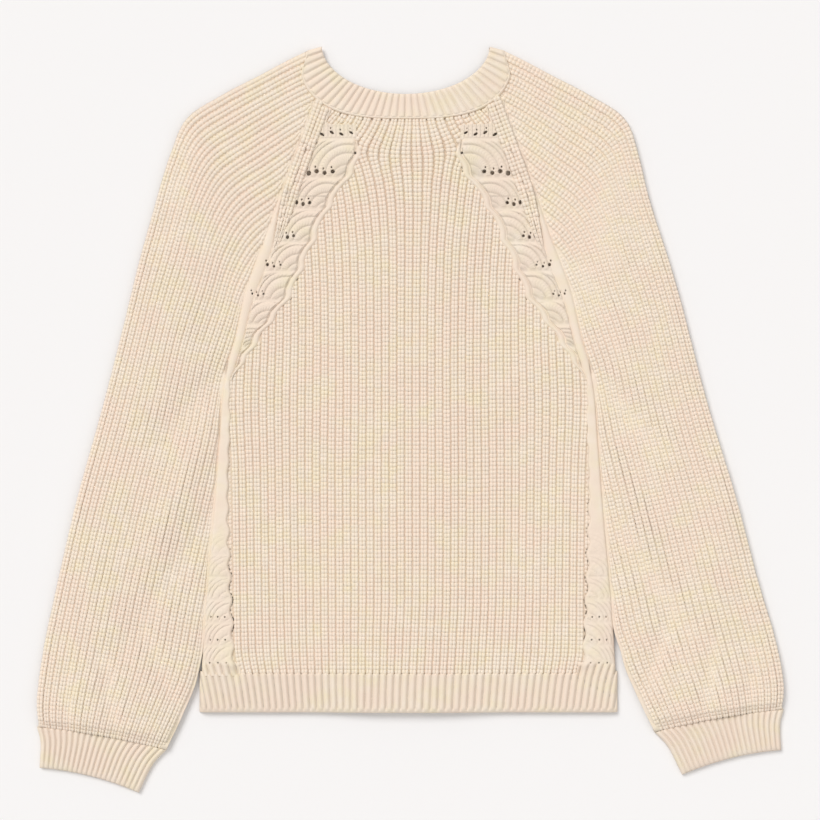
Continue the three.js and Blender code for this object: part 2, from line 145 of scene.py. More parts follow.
# How far from the middle the ribs of the back run, against their pitch, at ribs 2, 5, 10 and 22,
# and how far they drift to one side.
RIB_ANCHORS = (2, 5, 10, 22)
RIB_LINES = [
    Ribs(0.2790, 0.85, 0.99, 0.97, 1.00, 0),
    Ribs(0.2710, 0.90, 1.06, 1.09, 1.09, 0),
    Ribs(0.2655, 0.96, 1.12, 1.17, 1.15, 0),
    Ribs(0.2600, 1.06, 1.20, 1.26, 1.20, -0.0005),
    Ribs(0.2547, 1.15, 1.30, 1.34, 1.20, -0.0010),
    Ribs(0.2493, 1.24, 1.42, 1.34, 1.20, -0.0015),
    Ribs(0.2439, 1.35, 1.49, 1.30, 1.18, -0.0020),
    Ribs(0.2385, 1.43, 1.49, 1.24, 1.15, -0.0022),
    Ribs(0.2331, 1.45, 1.41, 1.20, 1.12, -0.0020),
    Ribs(0.2277, 1.42, 1.32, 1.17, 1.10, -0.0015),
    Ribs(0.2223, 1.38, 1.28, 1.14, 1.08, -0.0010),
    Ribs(0.2115, 1.26, 1.22, 1.11, 1.06, -0.0003),
    Ribs(0.2007, 1.20, 1.17, 1.09, 1.04, 0.0002),
    Ribs(0.1899, 1.15, 1.13, 1.07, 1.02, 0.0006),
    Ribs(0.1566, 1.055, 1.04, 1.035, 1.00, 0.0006),
    Ribs(0.1250, 1.02, 1.015, 1.01, 0.985, 0.0003),
    Ribs(0.0800, 1.00, 1.00, 1.00, 0.985, 0),
    Ribs(0.0170, 1.00, 1.00, 1.00, 1.005, 0),
    Ribs(-0.0460, 1.01, 1.01, 1.01, 0.99, 0),
    Ribs(-0.1630, 1.00, 1.00, 1.00, 0.98, 0),
    Ribs(-0.1900, 1.00, 0.99, 0.99, 0.978, -0.0012),
    Ribs(-0.2120, 0.99, 0.98, 0.977, 0.972, -0.0021),
    Ribs(-0.2350, 0.976, 0.962, 0.965, 0.943, -0.0033),
    Ribs(-0.2640, 0.96, 0.955, 0.943, 0.917, -0.0044),
]
BACK_RIBS = 24
HEM_RIBS = 29
STITCH_RELIEF = 0.0036  # length of a stitch where it is only relief in the wool
SIDE_ROW = 0.0206
SIDE_ROWS = 13
LOWEST_ROW = -0.2187
SIDE_TOP = 0.035  # the lace's shells are larger above this, along the raglan

Across = namedtuple("Across", "at out_x out_y in_x in_y ribs")
# Sections across a sleeve from the neckband to the cuff: the outer fold, the inner edge, the ribs.
SLEEVE = [
    Across(0, 0.0890, 0.3325, 0.0800, 0.292, 4.5),
    Across(1, 0.132, 0.3123, 0.0977, 0.254, 7.7),
    Across(2, 0.168, 0.2935, 0.112, 0.205, 11),
    Across(3, 0.199, 0.2725, 0.132, 0.153, 14.3),
    Across(4, 0.213, 0.2385, 0.1463, 0.110, 15.6),
    Across(5, 0.231, 0.180, 0.1544, 0.072, 16.2),
    Across(6, 0.247, 0.126, 0.1645, 0.038, 16.6),
    Across(7, 0.275, 0.018, 0.1705, -0.018, 17.4),
    Across(8, 0.301, -0.0765, 0.176, -0.090, 19),
    Across(9, 0.3227, -0.171, 0.184, -0.1845, 20.8),
    Across(10, 0.3308, -0.2115, 0.189, -0.2295, 21.3),
    Across(11, 0.3357, -0.252, 0.2015, -0.263, 21.5),
    Across(12, 0.334, -0.2763, 0.2175, -0.297, 21.5),
]
SLEEVE_SWAY = 0.0024
FREE_FROM = 6  # the section from which a sleeve lies free of the back
CUFF_SEAM = 12  # and the one at which the cuff is sewn on
SLEEVE_BOW = 0.003
CUFF_RIBS = 21
CUFF = [
    Across(0, 0.3339, -0.2767, 0.2176, -0.2974, CUFF_RIBS),
    Across(1, 0.3306, -0.291, 0.230, -0.311, CUFF_RIBS),
    Across(2, 0.3316, -0.3136, 0.2425, -0.3358, CUFF_RIBS),
]
CUFF_BOW = 0.004
# How far the right arm lies higher and further out than the left one, and how far its outer fold
# is drawn in between shoulder and wrist.
RIGHT_RISE = 0.016
RIGHT_OUT = 0.0034
RIGHT_FOLD_IN = 0.0056

Crease = namedtuple("Crease", "x0 y0 x1 y1 wide deep")
# Soft ridges and troughs of the back.
BACK_CREASES = [
    Crease(0.150, 0.060, 0.060, 0.010, 0.020, 0.0010),
    Crease(-0.150, 0.050, -0.050, -0.020, 0.022, 0.0012),
    Crease(0.155, 0.000, 0.080, -0.120, 0.018, -0.0007),
    Crease(-0.155, -0.030, -0.090, -0.150, 0.018, -0.0006),
    Crease(-0.060, -0.215, -0.030, -0.100, 0.026, 0.0007),
    Crease(0.100, -0.225, 0.070, -0.120, 0.022, 0.0006),
    Crease(0.160, -0.2170, 0.162, -0.2230, 0.006, 0.0016),
    Crease(-0.160, -0.2170, -0.162, -0.2230, 0.006, 0.0018),
    Crease(0.1520, -0.2215, 0.1545, -0.2320, 0.004, -0.0014),
    Crease(-0.1520, -0.2215, -0.1560, -0.2330, 0.004, -0.0018),
]
# And of a sleeve.
SLEEVE_CREASES = [
    Crease(0.170, 0.040, 0.228, -0.030, 0.014, -0.0022),
    Crease(0.172, 0.000, 0.220, -0.110, 0.013, 0.0020),
    Crease(0.180, -0.090, 0.250, -0.200, 0.012, -0.0018),
    Crease(0.300, -0.030, 0.270, -0.190, 0.020, 0.0016),
    Crease(0.205, -0.265, 0.236, -0.190, 0.009, -0.0020),
    Crease(0.262, -0.284, 0.272, -0.215, 0.008, -0.0018),
    Crease(0.305, -0.280, 0.306, -0.220, 0.008, -0.0014),
    Crease(0.185, 0.250, 0.200, 0.140, 0.016, 0.0014),
    Crease(0.150, 0.150, 0.190, 0.060, 0.012, -0.0013),
]


def mix(a, b, t):
    return a + (b - a) * t


def clamp(t, low=0.0, high=1.0):
    return max(low, min(high, t))


def smooth(value, low, high):
    """0 up to low and 1 from high on, with a soft step between."""
    t = clamp((value - low) / (high - low))
    return t * t * (3 - 2 * t)


def shares(count):
    """Even shares from 0 to 1, with both ends."""
    return [i / count for i in range(count + 1)]


def along(table, key, column, place):
    """The value of a table's column at a place along its key column, on a smooth curve."""
    rows = [(getattr(row, key), getattr(row, column)) for row in table]
    sign = 1 if rows[-1][0] > rows[0][0] else -1
    i = 0
    while i < len(rows) - 2 and (place - rows[i + 1][0]) * sign > 0:
        i += 1

    def slope(k):
        (x0, y0), (x1, y1) = rows[max(k - 1, 0)], rows[min(k + 1, len(rows) - 1)]
        return (y1 - y0) / (x1 - x0)

    (x0, y0), (x1, y1) = rows[i], rows[i + 1]
    t = (place - x0) / (x1 - x0)
    if t < 0:
        return y0 + slope(i) * t * (x1 - x0)
    if t > 1:
        return y1 + slope(i + 1) * (t - 1) * (x1 - x0)
    bend = slope(i) * t * (1 - t) ** 2 - slope(i + 1) * t * t * (1 - t)
    return mix(y0, y1, t * t * (3 - 2 * t)) + (x1 - x0) * bend


def sway(y):
    """How far the neckband and the sleeves' outer folds lean to one side, up by the neck."""
    return -SLEEVE_SWAY * smooth(y, 0.08, 0.22)


@lru_cache(None)
def seam_x(y):
    """Where the back ends at the sleeve, or at its side."""
    return along(SEAM_LINE, "y", "x", y)


@lru_cache(None)
def lace_x(y):
    """Where the lace begins, before its waves."""
    return along(LACE_LINE, "y", "x", y)


def neck_point(curve, depth, angle):
    """A place on an edge of the neckband, at an angle from its right fold."""
    c, s = math.cos(angle), math.sin(angle)
    bend = 2 / curve.power
    x = curve.half * math.copysign(abs(c) ** bend, c)
    return x, NECK_MIDDLE - getattr(curve, depth) * abs(s) ** bend


def neck_edge(x, deep):
    """Height of the neckband's outer edge, on a side where the neck is so deep."""
    share = clamp(abs(x) / NECK_OUT.half)
    return NECK_MIDDLE - deep * (1 - share**NECK_OUT.power) ** (1 / NECK_OUT.power)


@lru_cache(None)
def neck_y(x):
    """Height of the neckband's outer edge on the back."""
    return neck_edge(x - sway(NECK_MIDDLE), NECK_OUT.back)


def creased(creases, x, y):
    """Height that the soft ridges and troughs add at a place."""
    total = 0
    for c in creases:
        dx, dy = c.x1 - c.x0, c.y1 - c.y0
        t = ((x - c.x0) * dx + (y - c.y0) * dy) / (dx * dx + dy * dy)
        near = clamp(t)
        off = math.hypot(x - c.x0 - near * dx, y - c.y0 - near * dy) / c.wide
        fade = 0.35 + 0.65 * math.sin(math.pi * clamp(0.1 + 0.8 * t))
        total += c.deep * math.exp(-off * off) * fade
    return total


def lies(x, y):
    """Height at which the back lies, over the fronts and the closed button bands."""
    over_bands = (1 - smooth(abs(x), 0.017, 0.095)) * (1 - smooth(y, 0.25, 0.29))
    return BACK_LIES_AT + CROWN * over_bands


def rounded(distance, radius):
    """Profile of a rounded edge: 0 on the edge, 1 from its radius on."""
    t = clamp(distance / radius)
    return math.sqrt(t * (2 - t))


# Nodes and materials.


def feed(tree, socket, value):
    """Links a socket to another one, or sets its value."""
    if isinstance(value, bpy.types.NodeSocket):
        tree.links.new(value, socket)
    else:
        socket.default_value = value


def add_node(tree, kind, inputs=(), **settings):
    """A node with its settings; inputs maps a socket's name or number to what feeds it."""
    made = tree.nodes.new(kind)
    for key, value in settings.items():
        setattr(made, key, value)
    for key, value in dict(inputs).items():
        feed(tree, made.inputs[key], value)
    return made


def reckon(tree, operation, a, b=None):
    """The outcome of a sum of sockets or numbers."""
    inputs = {0: a} if b is None else {0: a, 1: b}
    return add_node(tree, "ShaderNodeMath", inputs, operation=operation).outputs[0]


def shaded(colour, *factors):
    """A colour times one factor, or one for each of its parts."""
    return (*[part * factor for part, factor in zip(colour, factors * 3)], 1)


def material(name, look):
    """A material, its nodes and its shader, with the shader's inputs set."""
    made = bpy.data.materials.new(name)
    made.use_nodes = True
    shader = made.node_tree.nodes["Principled BSDF"]
    for key, value in look.items():
        shader.inputs[key].default_value = value
    return made, made.node_tree, shader


WOOL_LOOK = {
    "Roughness": 0.92,
    "Sheen Weight": 0.2,
    "Sheen Roughness": 0.5,
    "Specular IOR Level": 0.2,
}
GROOVE_SHADE = 0.84


def wool(part):
    """Cream woollen yarn: in stitches, in smooth cloth, or deep between the stitches, where its
    darker colour is painted shade.
    """
    name = f"wool_{part}"
    if name in bpy.data.materials:
        return bpy.data.materials[name]
    colours = bpy.context.scene.cardigan
    made, tree, shader = material(name, WOOL_LOOK)
    where = add_node(tree, "ShaderNodeTexCoord").outputs["Object"]

    def blotches(scale, detail=2.0):
        inputs = {"Vector": where, "Scale": scale, "Detail": detail}
        return add_node(tree, "ShaderNodeTexNoise", inputs).outputs["Fac"]

    def blend(share, a, b, low=0.38, high=0.62):
        span = {"Value": share, "From Min": low, "From Max": high}
        ramp = add_node(tree, "ShaderNodeMapRange", span)
        inputs = {"Factor": ramp.outputs["Result"], 6: a, 7: b}
        return add_node(tree, "ShaderNodeMix", inputs, data_type="RGBA").outputs[2]

    # Painted shade: the deep colour stands for the shade between the stitches, and smooth cloth is
    # painted a fifth of the way towards it.
    base = {
        "stitches": colours.wool,
        "smooth": [mix(a, b, 0.20) for a, b in zip(colours.wool, colours.wool_deep)],
        "deep": colours.wool_deep,
    }[part]
    rosy, straw = shaded(base, 1.0, 0.955, 0.95), shaded(base, 0.985, 0.985, 0.90)
    colour = blend(blotches(34), blend(blotches(80), straw, shaded(base, 1)), rosy)
    if part == "stitches":
        tint = add_node(tree, "ShaderNodeAttribute", attribute_name="tint")
        colour = blend(tint.outputs["Fac"], colour, shaded(base, 0.93), 0.2, 1.9)
    hairs = {"Strength": 0.4, "Distance": 0.0005, "Height": blotches(1500, 3)}
    fuzz = add_node(tree, "ShaderNodeBump", hairs)
    # Painted shade: where the knit attribute shows, its grooves, creases and seam lines are darkened
    # towards GROOVE_SHADE of the base colour.
    if part != "stitches":
        groove = knit_relief(tree, fuzz)
        colour = blend(groove, colour, shaded(base, GROOVE_SHADE), 0.36, 0.50)
    feed(tree, shader.inputs["Base Color"], colour)
    feed(tree, shader.inputs["Normal"], fuzz.outputs["Normal"])
    return made


def knit_relief(tree, fuzz):
    """Rib and stitch relief for plain cloth, from the knit attribute. Returns how far off its rib's
    middle a place is, up to a half in the grooves, which the material uses as the mask of its painted
    groove shade."""
    sum_of = partial(reckon, tree)
    knit_at = add_node(tree, "ShaderNodeAttribute", attribute_name="knit")
    place = add_node(tree, "ShaderNodeSeparateXYZ", {0: knit_at.outputs["Vector"]})
    ribs, stitches, shows = place.outputs
    off = sum_of("ABSOLUTE", sum_of("SUBTRACT", sum_of("FRACT", ribs), 0.5))
    lean = sum_of("ADD", stitches, sum_of("MULTIPLY", off, 1.3))
    strand = sum_of("ABSOLUTE", sum_of("SINE", sum_of("MULTIPLY", lean, math.pi)))
    crest = sum_of("SUBTRACT", 1, sum_of("POWER", sum_of("MULTIPLY", off, 2), 4))
    height = sum_of("MULTIPLY", crest, sum_of("ADD", 0.55, sum_of("MULTIPLY", strand, 0.45)))
    depth = {"Strength": 0.8, "Distance": 0.0009, "Height": sum_of("MULTIPLY", height, shows)}
    relief = add_node(tree, "ShaderNodeBump", depth)
    feed(tree, fuzz.inputs["Normal"], relief.outputs["Normal"])
    return sum_of("MULTIPLY", off, shows)


def horn():
    """Brown horn, clouded, for the buttons."""
    if "horn" in bpy.data.materials:
        return bpy.data.materials["horn"]
    base = bpy.context.scene.cardigan.horn
    made, tree, shader = material("horn", {"Roughness": 0.38})
    where = add_node(tree, "ShaderNodeTexCoord").outputs["Object"]
    cloud = {"Vector": where, "Scale": 130, "Distortion": 2.5}
    clouded = add_node(tree, "ShaderNodeTexNoise", cloud).outputs["Fac"]
    ramp = add_node(tree, "ShaderNodeValToRGB", {"Fac": clouded})
    for end, shade in zip(ramp.color_ramp.elements, (0.6, 1)):
        end.color = shaded(base, shade)
    feed(tree, shader.inputs["Base Color"], ramp.outputs["Color"])
    return made


# Knitting.


class Cloth:
    """A surface of the garment: point(u, v) gives a place on it, in metres."""

    def __init__(self, point):
        self.point = point

    def normal(self, u, v, step=0.001):
        du = Vector(self.point(u + step, v)) - Vector(self.point(u - step, v))
        dv = Vector(self.point(u, v + step)) - Vector(self.point(u, v - step))
        up = du.cross(dv)
        if up.length < 1e-12:
            return Vector((0, 0, 1))
        return up.normalized()


def new_object(name, mesh):
    made = bpy.data.objects.new(name, mesh)
    bpy.context.scene.collection.objects.link(made)
    return made


def sheet_mesh(name, rows, without=(), knit_at=None):
    """An open sheet through rows of points, less the faces listed as (row, column). knit_at gives
    each point's place in the knitting, how many ribs across and how many stitches along, and how far
    the knitting shows there, up to 1, which scales both its relief and the painted shade in its
    grooves."""
    wide = len(rows[0])
    points = [p for row in rows for p in row]
    faces = []
    for i in range(len(rows) - 1):
        for j in range(wide - 1):
            if (i, j) not in without:
                a = i * wide + j
                faces.append((a, a + 1, a + wide + 1, a + wide))
    mesh = bpy.data.meshes.new(name)
    mesh.from_pydata(points, [], faces)
    mesh.update()
    knit_at = knit_at or [[(0, 0, 0)] * wide] * len(rows)
    at = mesh.attributes.new("knit", "FLOAT_VECTOR", "POINT")
    at.data.foreach_set("vector", [part for row in knit_at for place in row for part in place])
    return mesh


def turn_out(mesh, faces_in):
    """Turns a mesh the right way out where it faces in, and smooths it."""
    if faces_in:
        mesh.flip_normals()
    for face in mesh.polygons:
        face.use_smooth = True


def finish_sheet(name, mesh, wall, yarn, under=False):
    """Gives an open sheet its material and its wall, which goes down from it, or up from an under
    sheet, whose right side is the lower one."""
    top = max(mesh.polygons, key=lambda face: face.center.z)
    turn_out(mesh, top.normal.z < 0)
    made = new_object(name, mesh)
    solid = made.modifiers.new("Wall", "SOLIDIFY")
    solid.thickness = wall
    solid.offset = 1 if under else -1
    made.data.materials.append(yarn)
    return plain(made)


def plain(made):
    """The object with its modifiers made part of its mesh."""
    depsgraph = bpy.context.evaluated_depsgraph_get()
    mesh = bpy.data.meshes.new_from_object(made.evaluated_get(depsgraph))
    made.modifiers.clear()
    made.data = mesh
    mesh.name = made.name
    return made


Stop = namedtuple("Stop", "place up wide")


def ridge(ribs):
    """Profile of plain ribbing: 0 in the groove at each whole number of ribs, 1 on the crest."""
    return 1 - abs(2 * (ribs % 1) - 1) ** 3.2


def wales_object(name, wales):
    """The middle lines of wales, each a list of stops, as the input of the stitch tree."""
    stops = [stop for wale in wales for stop in wale]
    edges, start = [], 0
    for wale in wales:
        edges += [(start + i, start + i + 1) for i in range(len(wale) - 1)]
        start += len(wale)
    mesh = bpy.data.meshes.new(name)
    mesh.from_pydata([stop.place for stop in stops], edges, [])
    up = mesh.attributes.new("up", "FLOAT_VECTOR", "POINT")
    up.data.foreach_set("vector", [part for stop in stops for part in stop.up])
    wide = mesh.attributes.new("wide", "FLOAT", "POINT")
    wide.data.foreach_set("value", [stop.wide for stop in stops])
    return new_object(name, mesh)


def stitch_shape():
    """One knit stitch, two plump strands that lean apart, in a box one wide and one long."""
    # How full a strand is along its run, and its section, across and up.
    stations = ((0.17, 0.86), (0.52, 1.0), (0.85, 0.9))
    section = ((-1.0, -0.3), (-0.55, 0.75), (0.55, 0.75), (1.0, -0.3))
    points, faces = [], []
    for side in (-1, 1):
        start = Vector((0.15 * side, -0.88, -0.12))
        end = Vector((0.225 * side, 0.68, -0.08))

        def middle(t):
            """A place on the strand's middle line, which arches up."""
            return start.lerp(end, t) + Vector((0.025 * side, 0, 0.19)) * math.sin(math.pi * t)

        first = len(points)
        points.append(middle(0))
        for t, full in stations:
            for x, z in section:
                off = Vector((0.275 * full * x, -0.12 * full * x * side, 0.2 * full * z))
                points.append(middle(t) + off)
        points.append(middle(1))
        last = len(points) - 1
        ring = len(section)
        for k in range(ring):
            n = (k + 1) % ring
            faces.append((first, first + 1 + k, first + 1 + n))
            for s in range(len(stations) - 1):
                a = first + 1 + s * ring
                faces.append((a + k, a + ring + k, a + ring + n, a + n))
            a = first + 1 + (len(stations) - 1) * ring
            faces.append((a + k, last, a + n))
    mesh = bpy.data.meshes.new("stitch_shape")
    mesh.from_pydata(points, [], faces)
    corners = mesh.vertices
    volume = sum(corners[f.vertices[0]].co.dot(f.normal) * f.area for f in mesh.polygons)
    turn_out(mesh, volume < 0)
    return new_object("stitch_shape", mesh)


TREE_NAME = "Knit along wales"
TREE_INPUTS = {
    "Wales": "Geometry",
    "Stitch length": "Float",
    "Unevenness": "Float",
    "Seed": "Int",
    "Stitch": "Object",
    "Yarn": "Material",
}


def stitch_tree():
    """Geometry nodes that knit along wales: stitches at even steps, as wide as each wale."""
    tree = bpy.data.node_groups.new(TREE_NAME, "GeometryNodeTree")
    for label, kind in TREE_INPUTS.items():
        tree.interface.new_socket(label, in_out="INPUT", socket_type=f"NodeSocket{kind}")
    tree.interface.new_socket("Knitting", in_out="OUTPUT", socket_type="NodeSocketGeometry")
    node = partial(add_node, tree)

    def attribute(name, kind):
        made = node("GeometryNodeInputNamedAttribute", {"Name": name}, data_type=kind)
        return made.outputs["Attribute"]

    def chance(inputs):
        return node("FunctionNodeRandomValue", inputs, data_type="FLOAT").outputs[1]

    given = node("NodeGroupInput").outputs

    def uneven(measure, offset):
        """A measure times a chance share near 1, another one for each stitch."""
        seed = node("FunctionNodeIntegerMath", {0: given["Seed"], 1: offset}, operation="ADD")
        low = reckon(tree, "SUBTRACT", 1, given["Unevenness"])
        high = reckon(tree, "ADD", 1, given["Unevenness"])
        share = chance({2: low, 3: high, "Seed": seed.outputs[0]})
        return reckon(tree, "MULTIPLY", measure, share)

    length, wide = given["Stitch length"], attribute("wide", "FLOAT")
    lines = node("GeometryNodeMeshToCurve", {"Mesh": given["Wales"]})
    spacing = {"Curve": lines.outputs["Curve"], "Length": length}
    steps = node("GeometryNodeResampleCurve", spacing, mode="LENGTH")
    axes = {
        "Primary Axis": node("GeometryNodeInputTangent").outputs[0],
        "Secondary Axis": attribute("up", "FLOAT_VECTOR"),
    }
    turn = node("FunctionNodeAxesToRotation", axes, primary_axis="Y", secondary_axis="Z")
    sizes = {"X": uneven(wide, 1), "Y": uneven(length, 2), "Z": uneven(wide, 3)}
    size = node("ShaderNodeCombineXYZ", sizes)
    shape = node("GeometryNodeObjectInfo", {"Object": given["Stitch"]})
    places = {
        "Points": steps.outputs["Curve"],
        "Instance": shape.outputs["Geometry"],
        "Rotation": turn.outputs["Rotation"],
        "Scale": size.outputs["Vector"],
    }
    knit = node("GeometryNodeInstanceOnPoints", places)
    shade = {
        "Geometry": knit.outputs["Instances"],
        "Name": "tint",
        "Value": chance({"Seed": given["Seed"]}),
    }
    tint = node("GeometryNodeStoreNamedAttribute", shade, data_type="FLOAT", domain="INSTANCE")
    real = node("GeometryNodeRealizeInstances", {"Geometry": tint.outputs["Geometry"]})
    dye = {"Geometry": real.outputs["Geometry"], "Material": given["Yarn"]}
    yarn = node("GeometryNodeSetMaterial", dye)
    node("NodeGroupOutput", {"Knitting": yarn.outputs["Geometry"]})
    return tree


def knit(name, wales, length, seed, unevenness=0.06):
    """A mesh of stitches along wales."""
    tree = bpy.data.node_groups.get(TREE_NAME) or stitch_tree()
    shape = bpy.data.objects.get("stitch_shape") or stitch_shape()
    made = wales_object(name, wales)
    modifier = made.modifiers.new("Knit", "NODES")
    modifier.node_group = tree
    values = {
        "Stitch length": length,
        "Unevenness": unevenness,
        "Seed": seed,
        "Stitch": shape,
        "Yarn": wool("stitches"),
    }
    for item in tree.interface.items_tree:
        if item.item_type == "SOCKET" and item.name in values:
            modifier[item.identifier] = values[item.name]
    return plain(made)


def wale(cloth, stops, wides, raise_by=0.0):
    """A wale through (u, v) places on a cloth, with its width at each."""
    made = []
    for (u, v), wide in zip(stops, wides):
        up = cloth.normal(u, v)
        made.append(Stop(Vector(cloth.point(u, v)) + up * raise_by, up, wide))
    return made


def dress(piece, slot, *nodes):
    """Attaches a finished piece to the root body and hides the nodes of the frame that it stands for;
    slot is not used.
    """
    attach(piece, "root")
    if nodes:
        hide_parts(*nodes)


# The back.


def back_height(x, y):
    """The top of the back's cloth, under its stitches, with its sides turned down."""
    wall = bpy.context.scene.cardigan.wall
    full = lies(x, y) + wall + creased(BACK_CREASES, x, y)
    turned = 1 - smooth(y, UNDERARM - 0.015, UNDERARM + 0.005)
    if turned > 0:
        edge = rounded(seam_x(y) - abs(x), mix(0.0025, 0.006, smooth(-y, 0.18, 0.21)))
        full = mix(full, mix(EDGE_AT, full, edge), turned)
    return full


BACK = Cloth(lambda x, y: (x, y, back_height(x, y)))


@lru_cache(None)
def rib_shares(y):
    """The row of the ribs' table at a height."""
    columns = ("near", "inner", "middle", "outer", "drift")
    return [along(RIB_LINES, "y", column, y) for column in columns]


def rib_x(rib, y):
    """How far across a rib's middle runs at a height; ribs on the left have minus numbers."""
    *given, drift = rib_shares(y)
    n = abs(rib)
    k = bisect(RIB_ANCHORS, n, 1, len(RIB_ANCHORS) - 1) - 1
    a, b = RIB_ANCHORS[k : k + 2]
    share = mix(given[k], given[k + 1], max(0, (n - a) / (b - a)))
    return rib * bpy.context.scene.cardigan.rib * share + drift * (1 - n / 20)


@lru_cache(None)
def rib_edges(y):
    """Where the grooves between the ribs run at a height, from the left."""
    return [rib_x(k - 0.5, y) for k in range(-HEM_RIBS - 2, HEM_RIBS + 4)]


def ribs_at(x, y):
    """The number of ribs across to a place: whole in the grooves."""
    edges = rib_edges(y)
    k = min(max(bisect(edges, x) - 1, 0), len(edges) - 2)
    return k + (x - edges[k]) / (edges[k + 1] - edges[k])


def is_ribbed(x, y):
    """Whether a place on the back is ribbed: below the neckband and inside the lace."""
    if y > neck_y(x) + 0.0006:
        return False
    if y > RIBS_WIDEN:
        return abs(x) < seam_x(y) - lace_border(y) + 0.001
    return abs(x) < lace_edge(y) - cord_width(y) + mix(0.0005, 0.0020, under_strip(y))


def under_strip(y):
    """How far the last rib goes on under the lace at the side."""
    return (1 - smooth(y, 0.03, 0.05)) * (1 - smooth(-y, 0.205, 0.214))


def rib_runs(rib):
    """The stretches, from top to bottom, over which a rib of the back shows."""
    runs, run = [], []
    ys = [mix(TOP_LIMIT, HEM_TOP - 0.0005, t) for t in shares(540)]
    for y in ys:
        if is_ribbed(rib_x(rib, y), y):
            run.append(y)
        else:
            runs.append(run)
            run = []
    return [(run[0], run[-1]) for run in [*runs, run] if len(run) > 5]


UNDER_BAND = 0.002
UNDER_BAND_DROP = 0.0014


def tucked(x, y, height):
    """A place on the back that goes on a little way under the neckband, and stops there."""
    top = min(y, neck_y(x) + UNDER_BAND)
    drop = UNDER_BAND_DROP * smooth(top - neck_y(x), -0.0003, 0.001)
    return x, top, height(x, top) - drop


def ribs_reach(y):
    """How far out the cloth under the ribs goes: above the first eyelets, over the lace too."""
    inside = lace_edge(y) - cord_width(y)
    widened = smooth(y, RIBS_WIDEN, RIBS_WIDEN + 0.0016)
    return mix(inside, seam_x(y) - lace_border(y) - 0.001, widened)


def back_ribs_sheet():
    """The cloth under the ribs of the back."""
    ys = [mix(HEM_TOP + 0.0020, RIBS_WIDEN, t) for t in shares(66)]
    ys += [RIBS_WIDEN + 0.0008, RIBS_WIDEN + 0.0016]
    ys += [mix(RIBS_WIDEN + 0.003, TOP_LIMIT, t) for t in shares(5)]
    rows = []
    for y in ys:
        reach = ribs_reach(y) + 0.002
        rows.append([tucked(mix(-1, 1, t) * reach, y, back_height) for t in shares(72)])
    return sheet_mesh("back_ribs", rows)


def wale_width(cloth, at, low, high):
    """The distance between a wale's two sides, square to its run; low and high give them."""
    a, b = Vector(cloth.point(*low(at))), Vector(cloth.point(*high(at)))
    ends = []
    for step in (-0.01, 0.01):
        u, v = low(at + step), high(at + step)
        ends.append(Vector(cloth.point((u[0] + v[0]) / 2, (u[1] + v[1]) / 2)))
    run = ends[1] - ends[0]
    return (b - a).cross(run).length / max(run.length, 1e-9)


def back_wales(sign):
    """The ribs of one half of the back."""
    wales = []
    for count in range(0 if sign > 0 else 1, BACK_RIBS + 1):
        rib = count * sign
        low = lambda y: (rib_x(rib - 0.5, y), y)
        high = lambda y: (rib_x(rib + 0.5, y), y)
        for top, bottom in rib_runs(rib):
            steps = max(2, round((top - bottom) / 0.006))
            ys = [mix(top, bottom, t) for t in shares(steps)]
            wides = [wale_width(BACK, y, low, high) for y in ys]
            run = wale(BACK, [(rib_x(rib, y), y) for y in ys], wides, -0.0002)
            for i, y in enumerate(ys):
                past = smooth(abs(rib_x(rib, y)) - lace_edge(y), -0.0022, 0)
                sunk = Vector((0, 0, 0.0010 * under_strip(y) * past))
                run[i] = run[i]._replace(place=run[i].place - sunk)
            if top > neck_y(rib_x(rib, top)) - 0.003:
                # It goes on under the neckband.
                run.insert(0, run[0]._replace(place=run[0].place + Vector((0, 0.0022, -0.0016))))
            wales.append(run)
    return wales


# The lace.

CORD_WIDE = 0.0056
RIB_HIGH = 0.0022  # the ribs of the hem, which run up into the sides
PILLOW_HIGH = 0.0026
SIDE_ROPE_DEEP = 0.0011
PLAIN_HIGH = 0.0015
CORD_HIGH = 0.0021
BAND_HIGH = 0.0022
GROUND_HIGH = 0.0004
ROPE_HIGH = 0.0020


@lru_cache(None)
def lace_edge(y):
    """The lace's inner edge, which bends in at each row of eyelets, and waves down the side."""
    side = 1 - smooth(y, 0.02, 0.06)
    wave = mix(0.0006, 0.0014, smooth(-y, 0.05, 0.12))
    wave *= math.sin(2 * math.pi * (y - LOWEST_ROW) / SIDE_ROW)
    bend = max(math.exp(-(((y - row.y + 0.003) / 0.006) ** 2)) for row in LACE_ROWS[1:])
    return lace_x(y) + mix(-0.0035 * bend, wave, side)


@lru_cache(None)
def cord_width(y):
    """Width of the smooth cord between the lace and the ribs of the back."""
    return CORD_WIDE * smooth(y, 0.030, 0.060) * (1 - smooth(y, 0.236, 0.250))


@lru_cache(None)
def lace_border(y):
    """Width of the plain cloth between the lace and the sleeve: two ribs, then a smooth band."""
    return min(mix(0.0065, 0.0145, smooth(y, 0.08, 0.19)), seam_x(y) - lace_edge(y) - 0.0003)


@lru_cache(None)
def seam_band(y):
    """Width of the smooth band, which widens down from the shoulder and leaves the ribs behind."""
    return lace_border(y) * (1 - smooth(y, 0.115, 0.212))


SIDE_LACE = [
    Row(LOWEST_ROW + SIDE_ROW * i, 0, 0.164, 0.176, 0, 0) for i in reversed(range(SIDE_ROWS))
]
ALL_ROWS = [*LACE_ROWS, *SIDE_LACE]
SHELL_DROP = 0.005  # how far below its row a shell's ropes are centred
ROPE_WIDE = 0.0066
FINE_ROPE_WIDE = 0.0036


